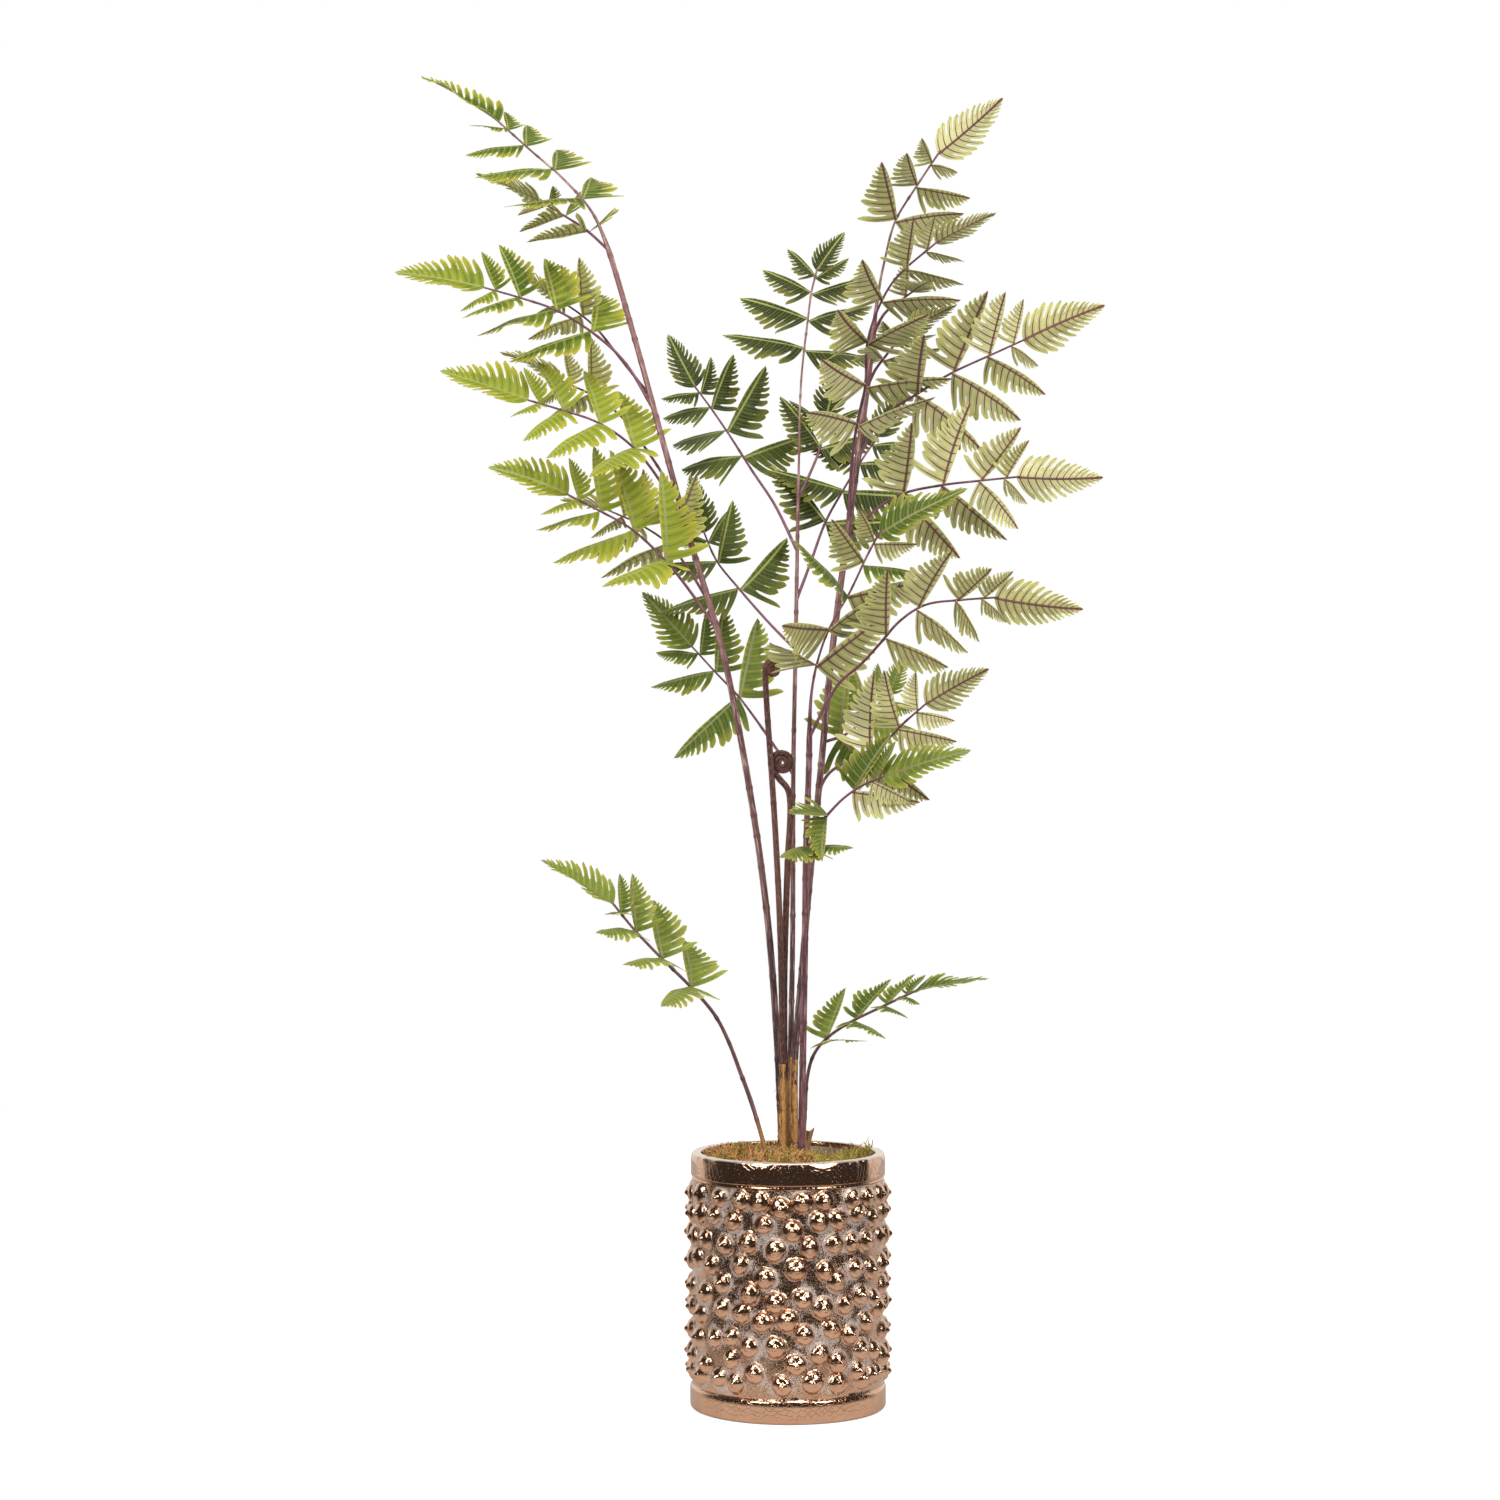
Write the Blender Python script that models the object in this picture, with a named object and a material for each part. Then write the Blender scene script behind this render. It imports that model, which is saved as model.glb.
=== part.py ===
# An artificial fern in a studded, glazed pot. Metres, +Z up, the viewer stands at -Y.
# The origin is the middle of the pot's flat base.
# Each frond is one solid: its stem, its side branches and every leaflet, fused.

import math
import random

import bmesh
import bpy
from mathutils import Vector

# Pot
POT_HEIGHT = 0.292
RIM_RADIUS = 0.112
RIM_BAND = 0.026
RIM_ROUND = 0.002
BODY_RADIUS = 0.1095
BASE_RADIUS = 0.1125
BASE_BAND = 0.026
BASE_ROUND = 0.004
MOUTH_RADIUS = 0.100
FLOOR_THICKNESS = 0.020
BAND_SLOPE = 0.002
POT_SIDES = 36

# Studs on the pot: pointed domes in staggered rows
STUD_RADIUS = 0.0135
STUD_HEIGHT = 0.0115
STUD_SINK = 0.0025
STUD_SIDES = 5
STUD_SHIFT = 0.0022
STUD_PITCH = 17.0

# The rows from the top: degrees to the right of the front, and millimetres above the base.
# Behind these, each row goes on round the pot at an even pitch.
FRONT_STUDS = [
    [(-65, 249), (-45, 249), (-30, 249), (-18, 249), (-5, 242), (8, 249), (21, 249), (40, 249), (53, 249)],
    [(-64, 228), (-49, 229), (-35, 225), (-15, 223), (2, 216), (18, 227), (30, 227), (44, 233), (58, 225)],
    [(-58, 200), (-41, 197), (-25, 202), (-8, 195), (12, 197), (27, 200), (40, 200), (52, 200)],
    [(-68, 177), (-52, 173), (-30, 177), (-14, 163), (4, 174), (22, 171), (43, 170), (57, 167)],
    [(-59, 140), (-43, 154), (-24, 145), (-8, 136), (8, 141), (29, 158), (47, 140), (60, 134)],
    [(-64, 115), (-43, 126), (-29, 123), (-16, 114), (-1, 116), (20, 130), (35, 131), (52, 109)],
    [(-67, 86), (-49, 91), (-36, 95), (-24, 85), (-8, 86), (9, 100), (26, 105), (39, 97), (48, 78), (60, 74)],
    [(-59, 58), (-36, 70), (-21, 56), (4, 67), (18, 78), (30, 67), (45, 55), (57, 47)],
    [(-45, 48), (-33, 44), (-4, 44), (14, 47), (30, 44)],
]

# Filler and moss inside the pot, and the gap that touching pieces keep
GAP = 0.0003
FILLER_TOP = 0.264
MOSS_TOP = 0.278
MOSS_RADIUS = 0.0975
MOSS_RINGS = 5
MOSS_SIDES = 22
MOSS_BUMP = 0.0035
MOSS_FRONT_RISE = 0.004
MOSS_EDGE_DROP = 0.003
HOLE_GAP = 0.0006
HOLE_SIDES = 6

# Stems
FOOT_BOTTOM = 0.225
FOOT_TOP = 0.292
FOOT_SHOULDER = 0.004
WRAP_TOP = 0.385
WRAP_RADIUS = 0.0056
STEM_SIDES = 5
STEM_STEP = 0.075
BRANCH_SIDES = 3
BRANCH_STEP = 0.045
BRANCH_ROOT_RADIUS = 0.0021
BRANCH_END_RADIUS = 0.0015

# Leaves: the distance of each pair from the foot of the end leaf, and the length of its leaflets
PAIR_AT = [0.016, 0.046, 0.092, 0.142, 0.190, 0.235]
PAIR_LENGTH = [0.047, 0.071, 0.092, 0.098, 0.098, 0.094]
SIDE_STEP = 0.003
END_SINK = 0.005
BLADE = 0.0008
DROOP = 0.10
FOLD = 0.25
DEEP_FOLD = 0.60

# A side leaflet as parts of its length, along its midrib and across to its cut side
LEAFLET = [
    (0.0, 0.0), (0.5, -0.06), (1.0, 0.0), (0.78, 0.17), (0.62, 0.08), (0.50, 0.29),
    (0.33, 0.11), (0.15, 0.40), (0.06, 0.03),
]
LEAFLET_TRIANGLES = [(2, 3, 4), (4, 5, 6), (6, 7, 8), (0, 1, 8), (1, 6, 8), (1, 4, 6), (1, 2, 4)]

# One half of an end leaf: points on its midrib, then its cut edge from the tip back
END_MIDRIB = [0.0, 0.45, 1.0]
END_EDGE = [(0.86, 0.04), (0.70, 0.19), (0.57, 0.09), (0.42, 0.31), (0.30, 0.12), (0.16, 0.32), (0.05, 0.04)]

# Ways that the upper side of a leaf faces
FRONT = (0.0, -1.0, 0.25)
SLANT = (0.0, -0.75, 0.65)
HIGH = (0.0, -0.55, 0.85)
LEVEL = (0.0, -0.30, 0.95)
BACK = (0.0, 1.0, 0.25)
BACK_SLANT = (0.0, 0.75, 0.65)
BACK_HIGH = (0.0, 0.45, 0.90)


def leaves(tip, face, left, right, size=1.0, spacing=1.0, left_face=None, right_face=None, fold=FOLD):
    """The end leaf and the pairs of leaflets at the end of a stem or branch.

    left and right hold, from the end leaf down, each leaflet's angle to the branch and its
    turn about the branch towards the viewer, in degrees, as seen from the front. fold is how
    steeply the two halves of the end leaf rise from its midrib.
    """
    return {
        "tip": tip, "face": face, "left": left, "right": right, "size": size, "spacing": spacing,
        "left_face": left_face or face, "right_face": right_face or face, "fold": fold,
    }


def branch(route, crown):
    return {"route": route, "crown": crown}


FRONDS = {
    "frond_left": {
        "foot": (-0.007, 0.032),
        "wrapped": True,
        "radii": (0.0048, 0.0014),
        "route": [
            (-0.012, 0.036, 0.412), (-0.023, 0.043, 0.554), (-0.042, 0.052, 0.694), (-0.076, 0.064, 0.870),
            (-0.114, 0.076, 1.000), (-0.150, 0.090, 1.130), (-0.183, 0.103, 1.250), (-0.218, 0.115, 1.364),
            (-0.234, 0.120, 1.396), (-0.267, 0.128, 1.434), (-0.306, 0.136, 1.469), (-0.346, 0.145, 1.506),
        ],
        "crown": leaves(
            (-0.439, 0.165, 1.563), SLANT, [(50, 45), (50, 15), (45, 15), (65, 35)],
            [(70, -60), (75, -60), (80, -62), (80, -62)], left_face=HIGH, fold=DEEP_FOLD),
        "branches": [
            branch([(-0.213, 0.113, 1.345), (-0.238, 0.140, 1.373), (-0.272, 0.170, 1.399), (-0.300, 0.190, 1.418)],
                   leaves((-0.378, 0.220, 1.456), BACK_HIGH, [(50, 20), (55, 20), (60, 30)],
                          [(50, -20), (55, -30), (60, -40)], size=0.80)),
            branch([(-0.156, 0.093, 1.152), (-0.190, 0.098, 1.209), (-0.219, 0.100, 1.238), (-0.270, 0.104, 1.272),
                    (-0.317, 0.108, 1.289), (-0.362, 0.110, 1.302)],
                   leaves((-0.465, 0.115, 1.320), SLANT, [(50, 30), (45, 40), (40, 10), (55, 15)],
                          [(55, 15), (50, -10), (55, -40), (65, -55)], size=1.05,
                          left_face=HIGH, right_face=FRONT, fold=DEEP_FOLD)),
            branch([(-0.160, 0.096, 1.170), (-0.198, 0.125, 1.219), (-0.228, 0.145, 1.258), (-0.249, 0.155, 1.277),
                    (-0.280, 0.170, 1.299)],
                   leaves((-0.334, 0.190, 1.334), BACK_HIGH, [(50, 0), (55, 0)], [(50, 10), (55, 30)],
                          right_face=BACK)),
            branch([(-0.118, 0.077, 1.010), (-0.146, 0.078, 1.064), (-0.181, 0.080, 1.109), (-0.222, 0.082, 1.138),
                    (-0.268, 0.084, 1.154), (-0.308, 0.086, 1.166)],
                   leaves((-0.409, 0.090, 1.200), SLANT, [(60, 55), (65, 45), (70, 45), (85, 55)],
                          [(50, 15), (45, -10), (50, -40), (40, -50)], left_face=HIGH, right_face=FRONT,
                          fold=DEEP_FOLD)),
            branch([(-0.128, 0.082, 1.045), (-0.162, 0.115, 1.103), (-0.199, 0.140, 1.153), (-0.234, 0.155, 1.179),
                    (-0.273, 0.175, 1.199)],
                   leaves((-0.347, 0.200, 1.236), BACK_HIGH, [(50, 0), (55, 0)], [(50, 0), (55, 0)],
                          right_face=BACK)),
            branch([(-0.082, 0.066, 0.894), (-0.098, 0.066, 0.917), (-0.122, 0.066, 0.950), (-0.141, 0.066, 0.973),
                    (-0.181, 0.067, 1.011), (-0.219, 0.068, 1.033), (-0.260, 0.070, 1.054)],
                   leaves((-0.351, 0.072, 1.085), SLANT, [(55, 40), (40, 5), (55, 5), (75, 50)],
                          [(50, 10), (55, 10), (35, 10), (40, 10)], size=1.1,
                          left_face=HIGH, right_face=FRONT, fold=DEEP_FOLD)),
            branch([(-0.092, 0.069, 0.925), (-0.114, 0.095, 0.963), (-0.140, 0.125, 0.998), (-0.175, 0.150, 1.023),
                    (-0.210, 0.170, 1.040)],
                   leaves((-0.275, 0.220, 1.058), BACK_HIGH, [(50, 0), (55, 0), (60, 0)],
                          [(50, 0), (55, 0), (60, 0)], right_face=BACK)),
        ],
    },
    "frond_back": {
        "foot": (0.003, 0.046),
        "wrapped": True,
        "radii": (0.0040, 0.0014),
        "route": [
            (0.003, 0.048, 0.364), (0.006, 0.054, 0.529), (0.007, 0.063, 0.730), (0.010, 0.076, 0.882),
            (0.012, 0.086, 0.993), (0.014, 0.098, 1.093), (0.017, 0.114, 1.191), (0.025, 0.126, 1.265),
            (0.030, 0.132, 1.301), (0.037, 0.140, 1.329),
        ],
        "crown": leaves(
            (0.070, 0.150, 1.373), FRONT, [(55, 0), (65, -20), (70, -20), (80, -10)],
            [(40, 10), (55, -20), (60, -25), (80, -20)], size=1.05, spacing=0.72,
            left_face=SLANT, right_face=SLANT),
        "branches": [
            branch([(0.012, 0.086, 0.987), (-0.014, 0.110, 1.043), (-0.041, 0.135, 1.086), (-0.068, 0.155, 1.130),
                    (-0.091, 0.170, 1.165), (-0.112, 0.180, 1.194)],
                   leaves((-0.143, 0.195, 1.257), FRONT, [(60, 10), (55, -25), (55, -35), (55, -30)],
                          [(55, 20), (60, 20), (65, 15), (85, -30)], spacing=0.8, left_face=SLANT)),
            branch([(0.009, 0.075, 0.871), (-0.020, 0.095, 0.902), (-0.056, 0.120, 0.944), (-0.084, 0.140, 0.980),
                    (-0.100, 0.155, 1.017)],
                   leaves((-0.116, 0.170, 1.084), FRONT, [(50, 0), (55, 0), (60, 0)],
                          [(50, 0), (50, 25), (70, -20)], size=1.1, left_face=SLANT)),
            branch([(0.006, 0.063, 0.724), (-0.011, 0.073, 0.752), (-0.056, 0.105, 0.815), (-0.085, 0.125, 0.846),
                    (-0.115, 0.140, 0.879)],
                   leaves((-0.173, 0.160, 0.943), FRONT, [(40, 0), (55, 0), (90, 0)],
                          [(50, 10), (50, 10), (48, 0)], size=1.15, left_face=SLANT)),
            branch([(0.013, 0.095, 1.051), (0.027, 0.110, 1.080), (0.040, 0.125, 1.114), (0.048, 0.140, 1.156)],
                   leaves((0.062, 0.160, 1.221), FRONT, [(65, 15), (55, 15)], [(50, 0), (55, 0)],
                          size=1.1, left_face=SLANT)),
            branch([(0.011, 0.080, 0.929), (0.028, 0.095, 0.975), (0.046, 0.110, 1.024), (0.067, 0.120, 1.062),
                    (0.087, 0.130, 1.095), (0.111, 0.135, 1.130)],
                   leaves((0.142, 0.150, 1.190), FRONT, [(50, -5), (100, -5), (100, -5), (62, -5)],
                          [(50, 0), (55, 0), (60, 0), (62, 0)], spacing=0.9, left_face=SLANT)),
        ],
    },
    "frond_right": {
        "foot": (0.008, 0.007),
        "wrapped": True,
        "radii": (0.0045, 0.0014),
        "route": [
            (0.008, 0.006, 0.392), (0.017, 0.004, 0.509), (0.025, 0.001, 0.604), (0.037, -0.006, 0.725),
            (0.050, -0.014, 0.862), (0.068, -0.023, 1.002), (0.083, -0.030, 1.114), (0.093, -0.034, 1.196),
            (0.102, -0.038, 1.271), (0.109, -0.040, 1.308), (0.121, -0.046, 1.353), (0.145, -0.055, 1.392),
            (0.171, -0.065, 1.430),
        ],
        "crown": leaves(
            (0.240, -0.090, 1.485), BACK, [(65, 50), (65, 60), (50, 50)], [(70, 40), (65, 15), (60, 25)],
            size=0.95, right_face=BACK_SLANT),
        "branches": [
            branch([(0.068, -0.024, 1.010), (0.070, -0.040, 1.049), (0.073, -0.060, 1.093), (0.078, -0.070, 1.126),
                    (0.086, -0.080, 1.163), (0.088, -0.086, 1.210), (0.099, -0.090, 1.246), (0.119, -0.094, 1.281),
                    (0.167, -0.100, 1.323)],
                   leaves((0.230, -0.120, 1.351), BACK_HIGH,
                          [(50, 50), (55, 55), (70, 60), (70, 60), (70, 50), (80, 45)],
                          [(50, 15), (55, 15), (60, 15), (60, 45), (70, 0), (55, -5)],
                          left_face=BACK, right_face=BACK_HIGH)),
            branch([(0.096, -0.036, 1.225), (0.108, -0.055, 1.247), (0.124, -0.070, 1.259), (0.141, -0.090, 1.269)],
                   leaves((0.154, -0.150, 1.270), BACK_SLANT, [(50, 0)], [(50, 0)])),
            branch([(0.090, -0.033, 1.165), (0.098, -0.045, 1.184), (0.109, -0.060, 1.198), (0.122, -0.075, 1.213),
                    (0.132, -0.085, 1.221)],
                   leaves((0.187, -0.110, 1.250), BACK_HIGH, [(60, 45), (55, 65)],
                          [(40, -40), (45, -40)])),
            branch([(0.079, -0.030, 1.085), (0.104, -0.045, 1.128), (0.148, -0.070, 1.157), (0.184, -0.090, 1.177),
                    (0.225, -0.110, 1.194), (0.263, -0.125, 1.210)],
                   leaves((0.348, -0.150, 1.244), BACK, [(55, -5), (50, 15), (40, 0), (50, 50)],
                          [(55, 35), (55, -15), (55, 5), (62, 10)], size=1.1, right_face=BACK_SLANT)),
            branch([(0.067, -0.023, 0.985), (0.093, -0.040, 1.021), (0.126, -0.060, 1.042), (0.173, -0.085, 1.051),
                    (0.212, -0.105, 1.054), (0.256, -0.125, 1.057)],
                   leaves((0.346, -0.150, 1.054), BACK, [(55, -5), (50, -10), (65, -5), (55, 30)],
                          [(45, 25), (50, 0), (50, -25), (62, 0)], size=1.05, right_face=BACK_SLANT)),
            branch([(0.036, -0.005, 0.707), (0.047, -0.020, 0.727), (0.070, -0.035, 0.742), (0.107, -0.055, 0.761),
                    (0.129, -0.070, 0.783), (0.156, -0.085, 0.807)],
                   leaves((0.223, -0.110, 0.844), BACK, [(50, 0), (55, 0), (60, 0)],
                          [(50, 0), (55, 0), (60, 0)])),
            branch([(0.041, -0.009, 0.762), (0.066, 0.010, 0.771), (0.086, 0.025, 0.786), (0.105, 0.040, 0.806),
                    (0.121, 0.050, 0.821)],
                   leaves((0.138, 0.070, 0.865), FRONT, [(50, 0), (55, 0), (60, 0)],
                          [(50, 0), (55, 0), (60, 0)])),
        ],
    },
    "frond_front": {
        "foot": (0.015, -0.016),
        "wrapped": False,
        "radii": (0.0045, 0.0014),
        "route": [
            (0.017, -0.022, 0.417), (0.019, -0.030, 0.530), (0.020, -0.040, 0.635), (0.023, -0.052, 0.731),
            (0.025, -0.064, 0.809), (0.030, -0.070, 0.843), (0.040, -0.078, 0.877), (0.050, -0.084, 0.899),
            (0.067, -0.094, 0.928), (0.088, -0.106, 0.972), (0.102, -0.113, 0.998),
        ],
        "crown": leaves(
            (0.197, -0.135, 1.043), SLANT, [(55, 30), (60, 30), (65, 20), (90, 40), (70, 40)],
            [(60, 0), (70, 0), (45, 0), (28, 0), (38, 0)], size=1.05, spacing=0.9,
            left_face=BACK, right_face=BACK),
        "branches": [
            branch([(0.024, -0.058, 0.767), (0.042, -0.085, 0.805), (0.057, -0.100, 0.829), (0.080, -0.115, 0.849),
                    (0.101, -0.130, 0.872), (0.122, -0.145, 0.896), (0.149, -0.155, 0.913), (0.189, -0.170, 0.918),
                    (0.227, -0.185, 0.920)],
                   leaves((0.318, -0.210, 0.906), BACK, [(40, -5), (40, 40), (35, 35), (35, 25)],
                          [(40, 20), (55, 30), (60, 25), (62, 25)], size=0.95, right_face=BACK_SLANT)),
            branch([(0.020, -0.039, 0.622), (0.031, -0.055, 0.665), (0.043, -0.062, 0.679), (0.062, -0.072, 0.699),
                    (0.082, -0.080, 0.713), (0.108, -0.090, 0.724)],
                   leaves((0.202, -0.120, 0.753), SLANT, [(40, 10), (25, 10), (90, 60), (80, 65)],
                          [(50, -15), (45, -15), (110, 60), (60, 50)], size=1.1, spacing=0.9,
                          right_face=BACK)),
        ],
    },
    "frond_low_left": {
        "foot": (-0.026, -0.005),
        "wrapped": False,
        "radii": (0.0030, 0.0014),
        "route": [
            (-0.041, -0.012, 0.346), (-0.055, -0.018, 0.385), (-0.069, -0.023, 0.422), (-0.084, -0.028, 0.451),
            (-0.108, -0.033, 0.480), (-0.146, -0.038, 0.518), (-0.176, -0.042, 0.550), (-0.214, -0.048, 0.591),
        ],
        "crown": leaves(
            (-0.280, -0.060, 0.629), SLANT, [(60, 65), (60, 60), (65, 70), (80, 70)],
            [(60, -35), (55, -35), (70, -50), (85, -65)], size=0.95, spacing=0.9,
            left_face=HIGH, right_face=FRONT, fold=DEEP_FOLD),
        "branches": [],
    },
    "frond_low_right": {
        "foot": (0.018, 0.003),
        "wrapped": False,
        "radii": (0.0025, 0.0014),
        "route": [
            (0.020, 0.000, 0.339), (0.022, -0.004, 0.376), (0.029, -0.010, 0.403), (0.042, -0.016, 0.421),
            (0.066, -0.028, 0.440), (0.109, -0.045, 0.463), (0.146, -0.060, 0.482),
        ],
        "crown": leaves(
            (0.224, -0.090, 0.497), LEVEL, [(45, -60), (45, -60), (45, -60), (50, -60)],
            [(50, 65), (50, 65), (50, 60), (40, 55)], size=0.9, spacing=0.9),
        "branches": [],
    },
}

# Young fronds: a stem, then a coil. Angles are seen from the front and run clockwise.
FIDDLEHEADS = {
    "fiddlehead_tall": {
        "foot": (-0.006, 0.000),
        "route": [(-0.006, 0.002, 0.392), (-0.009, 0.008, 0.545), (-0.014, 0.014, 0.651), (-0.019, 0.018, 0.730),
                  (-0.024, 0.021, 0.800), (-0.026, 0.022, 0.835)],
        "radii": (0.0032, 0.0024),
        "centre": (-0.018, 0.022, 0.8475), "coil": 0.0095, "turned": 35.0,
    },
    "fiddlehead_short": {
        "foot": (-0.003, 0.017),
        "route": [(-0.004, 0.020, 0.485), (-0.002, 0.022, 0.567), (0.000, 0.023, 0.626), (0.003, 0.024, 0.690),
                  (0.000, 0.024, 0.708), (-0.009, 0.024, 0.719), (-0.0175, 0.024, 0.730)],
        "radii": (0.0034, 0.0027),
        "centre": (-0.0067, 0.024, 0.7383), "coil": 0.0125, "turned": 0.0,
    },
}
COIL_START = 200.0
COIL_TURNS = 2.0
COIL_INNER = 0.0032
COIL_END_RADIUS = 0.0011
COIL_POINTS = 10

# A cut stick beside the stems
STUB_FOOT = (0.021, 0.023)
STUB_TOP = (0.025, 0.026, 0.318)
STUB_RADII = (0.0045, 0.0065)
STUB_SIDES = 8


def clear_scene():
    for item in list(bpy.data.objects):
        bpy.data.objects.remove(item, do_unlink=True)


def material(name, colour, roughness, metallic=0.0):
    made = bpy.data.materials.new(name)
    made.use_nodes = True
    shader = made.node_tree.nodes["Principled BSDF"]
    shader.inputs["Base Color"].default_value = (*colour, 1.0)
    shader.inputs["Roughness"].default_value = roughness
    shader.inputs["Metallic"].default_value = metallic
    return made


def object_from(bm, name, finish=None):
    mesh = bpy.data.meshes.new(name)
    bm.to_mesh(mesh)
    bm.free()
    made = bpy.data.objects.new(name, mesh)
    if finish:
        mesh.materials.append(finish)
    return made


def smooth_route(points, step):
    """Points about one step apart on a smooth curve through the given ones."""
    given = [Vector(point) for point in points]
    ends = [given[0] * 2 - given[1]] + given + [given[-1] * 2 - given[-2]]
    knots = [0.0]
    for before, after in zip(ends, ends[1:]):
        knots.append(knots[-1] + math.sqrt((after - before).length))
    route = []
    for index in range(1, len(ends) - 2):
        start, finish = ends[index], ends[index + 1]
        span = knots[index + 1] - knots[index]
        leave = slope(ends, knots, index) * span
        arrive = slope(ends, knots, index + 1) * span
        pieces = max(1, round((finish - start).length / step))
        for piece in range(pieces):
            t = piece / pieces
            route.append(
                start * (2 * t**3 - 3 * t**2 + 1) + leave * (t**3 - 2 * t**2 + t)
                + finish * (3 * t**2 - 2 * t**3) + arrive * (t**3 - t**2))
    route.append(given[-1])
    return route


def slope(points, knots, index):
    before = (points[index] - points[index - 1]) / (knots[index] - knots[index - 1])
    across = (points[index + 1] - points[index - 1]) / (knots[index + 1] - knots[index - 1])
    after = (points[index + 1] - points[index]) / (knots[index + 1] - knots[index])
    return before - across + after


def tube(route, radii, sides, name, finish=None):
    """A closed tube along a route, with one radius for each point."""
    bm = bmesh.new()
    across = Vector((0.0, 1.0, 0.0))
    rings = []
    for index, point in enumerate(route):
        before = route[max(index - 1, 0)]
        after = route[min(index + 1, len(route) - 1)]
        along = (after - before).normalized()
        across = (across - along * across.dot(along)).normalized()
        other = along.cross(across)
        ring = []
        for side in range(sides):
            angle = 2 * math.pi * side / sides
            offset = across * math.cos(angle) + other * math.sin(angle)
            ring.append(bm.verts.new(point + offset * radii[index]))
        rings.append(ring)
    for low, high in zip(rings, rings[1:]):
        for side in range(sides):
            following = (side + 1) % sides
            bm.faces.new((low[side], low[following], high[following], high[side]))
    bm.faces.new(list(reversed(rings[0])))
    bm.faces.new(rings[-1])
    return object_from(bm, name, finish)


def blade(points, triangles, outline, normal, name):
    """A thin solid from points in space, triangles and the order of its edge.

    It has one thickness, but for the first point, where it narrows to a root.
    """
    bm = bmesh.new()
    half = normal * (BLADE / 2)
    root = bm.verts.new(points[0])
    top = [root] + [bm.verts.new(point + half) for point in points[1:]]
    under = [root] + [bm.verts.new(point - half) for point in points[1:]]
    for a, b, c in triangles:
        bm.faces.new((top[a], top[b], top[c]))
        bm.faces.new((under[c], under[b], under[a]))
    for a, b in zip(outline, outline[1:] + outline[:1]):
        corners = (top[b], top[a], under[a], under[b])
        bm.faces.new(list(dict.fromkeys(corners)))
    return object_from(bm, name)


def perpendicular(vector, axis):
    return (vector - axis * vector.dot(axis)).normalized()


def side_leaflet(root, along, face, length, towards_root, name):
    """One leaflet: nearly straight on the side of the branch's end, cut into lobes on the other."""
    normal = perpendicular(Vector(face), along)
    across = normal.cross(along)
    mirrored = across.dot(towards_root) < 0
    if mirrored:
        across = -across
    points = []
    for x, y in LEAFLET:
        sag = -DROOP * x * x * length
        points.append(root + along * (x * length) + across * (y * length) + normal * sag)
    triangles = [tuple(reversed(item)) if mirrored else item for item in LEAFLET_TRIANGLES]
    outline = list(range(len(LEAFLET)))
    if mirrored:
        outline.reverse()
    return blade(points, triangles, outline, normal, name)


def end_leaf(root, tip, face, fold, name):
    """The leaf at the end of a branch, folded along its midrib."""
    along = (tip - root).normalized()
    length = (tip - root).length
    normal = perpendicular(Vector(face), along)
    across = normal.cross(along)
    flat = [(x, 0.0) for x in END_MIDRIB]
    left = len(flat)
    flat += list(END_EDGE)
    right = len(flat)
    flat += [(x, -y) for x, y in END_EDGE]
    points = []
    for x, y in flat:
        lift = (DROOP * x * (1.0 - x) + fold * abs(y)) * length
        points.append(root + along * (x * length) + across * (y * length) + normal * lift)
    triangles = []
    for start, flip in ((left, False), (right, True)):
        e = list(range(start, start + len(END_EDGE)))
        half = [
            (2, e[0], 1), (e[0], e[1], e[2]), (1, e[0], e[2]), (e[2], e[3], e[4]), (1, e[2], e[4]),
            (e[4], e[5], e[6]), (1, e[4], e[6]), (0, 1, e[6]),
        ]
        triangles += [tuple(reversed(item)) if flip else item for item in half]
    outline = [2] + list(range(left, right)) + [0] + list(reversed(range(right, len(flat))))
    return blade(points, triangles, outline, normal, name)


def point_before_end(route, distance):
    """The point at that distance before the route's end, and the route's direction there."""
    passed = 0.0
    for after, before in zip(reversed(route), reversed(route[:-1])):
        piece = (after - before).length
        if passed + piece >= distance:
            return after.lerp(before, (distance - passed) / piece), (after - before).normalized()
        passed += piece
    return route[0].copy(), (route[1] - route[0]).normalized()


def crown_parts(route, crown, name):
    """The end leaf and the side leaflets of one branch."""
    foot, _ = point_before_end(route, END_SINK)
    parts = [end_leaf(foot, Vector(crown["tip"]), crown["face"], crown["fold"], name + "_end")]
    for side in ("left", "right"):
        for index, (angle, turn) in enumerate(crown[side]):
            distance = PAIR_AT[index] * crown["spacing"] + (SIDE_STEP if side == "right" else 0.0)
            root, along = point_before_end(route, distance)
            viewer = perpendicular(Vector((0.0, -1.0, 0.0)), along)
            out = viewer.cross(along)
            if side == "right":
                out = -out
            lean = math.radians(turn)
            out = out * math.cos(lean) + viewer * math.sin(lean)
            away = math.radians(angle)
            way = along * math.cos(away) + out * math.sin(away)
            length = PAIR_LENGTH[index] * crown["size"]
            label = f"{name}_{side}_{index}"
            parts.append(side_leaflet(root, way, crown[side + "_face"], length, -along, label))
    return parts


def nearest_on(route, point):
    """The nearest point to the given one on a route of straight pieces."""
    best = None
    for start, finish in zip(route, route[1:]):
        span = finish - start
        share = min(max((point - start).dot(span) / span.length_squared, 0.0), 1.0)
        spot = start + span * share
        if best is None or (spot - point).length < (best - point).length:
            best = spot
    return best


def stem_route(plan):
    x, y = plan["foot"]
    feet = [(x, y, FOOT_BOTTOM), (x, y, FOOT_TOP - FOOT_SHOULDER), (x, y, FOOT_TOP)]
    return smooth_route(feet + plan["route"], STEM_STEP)


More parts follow.
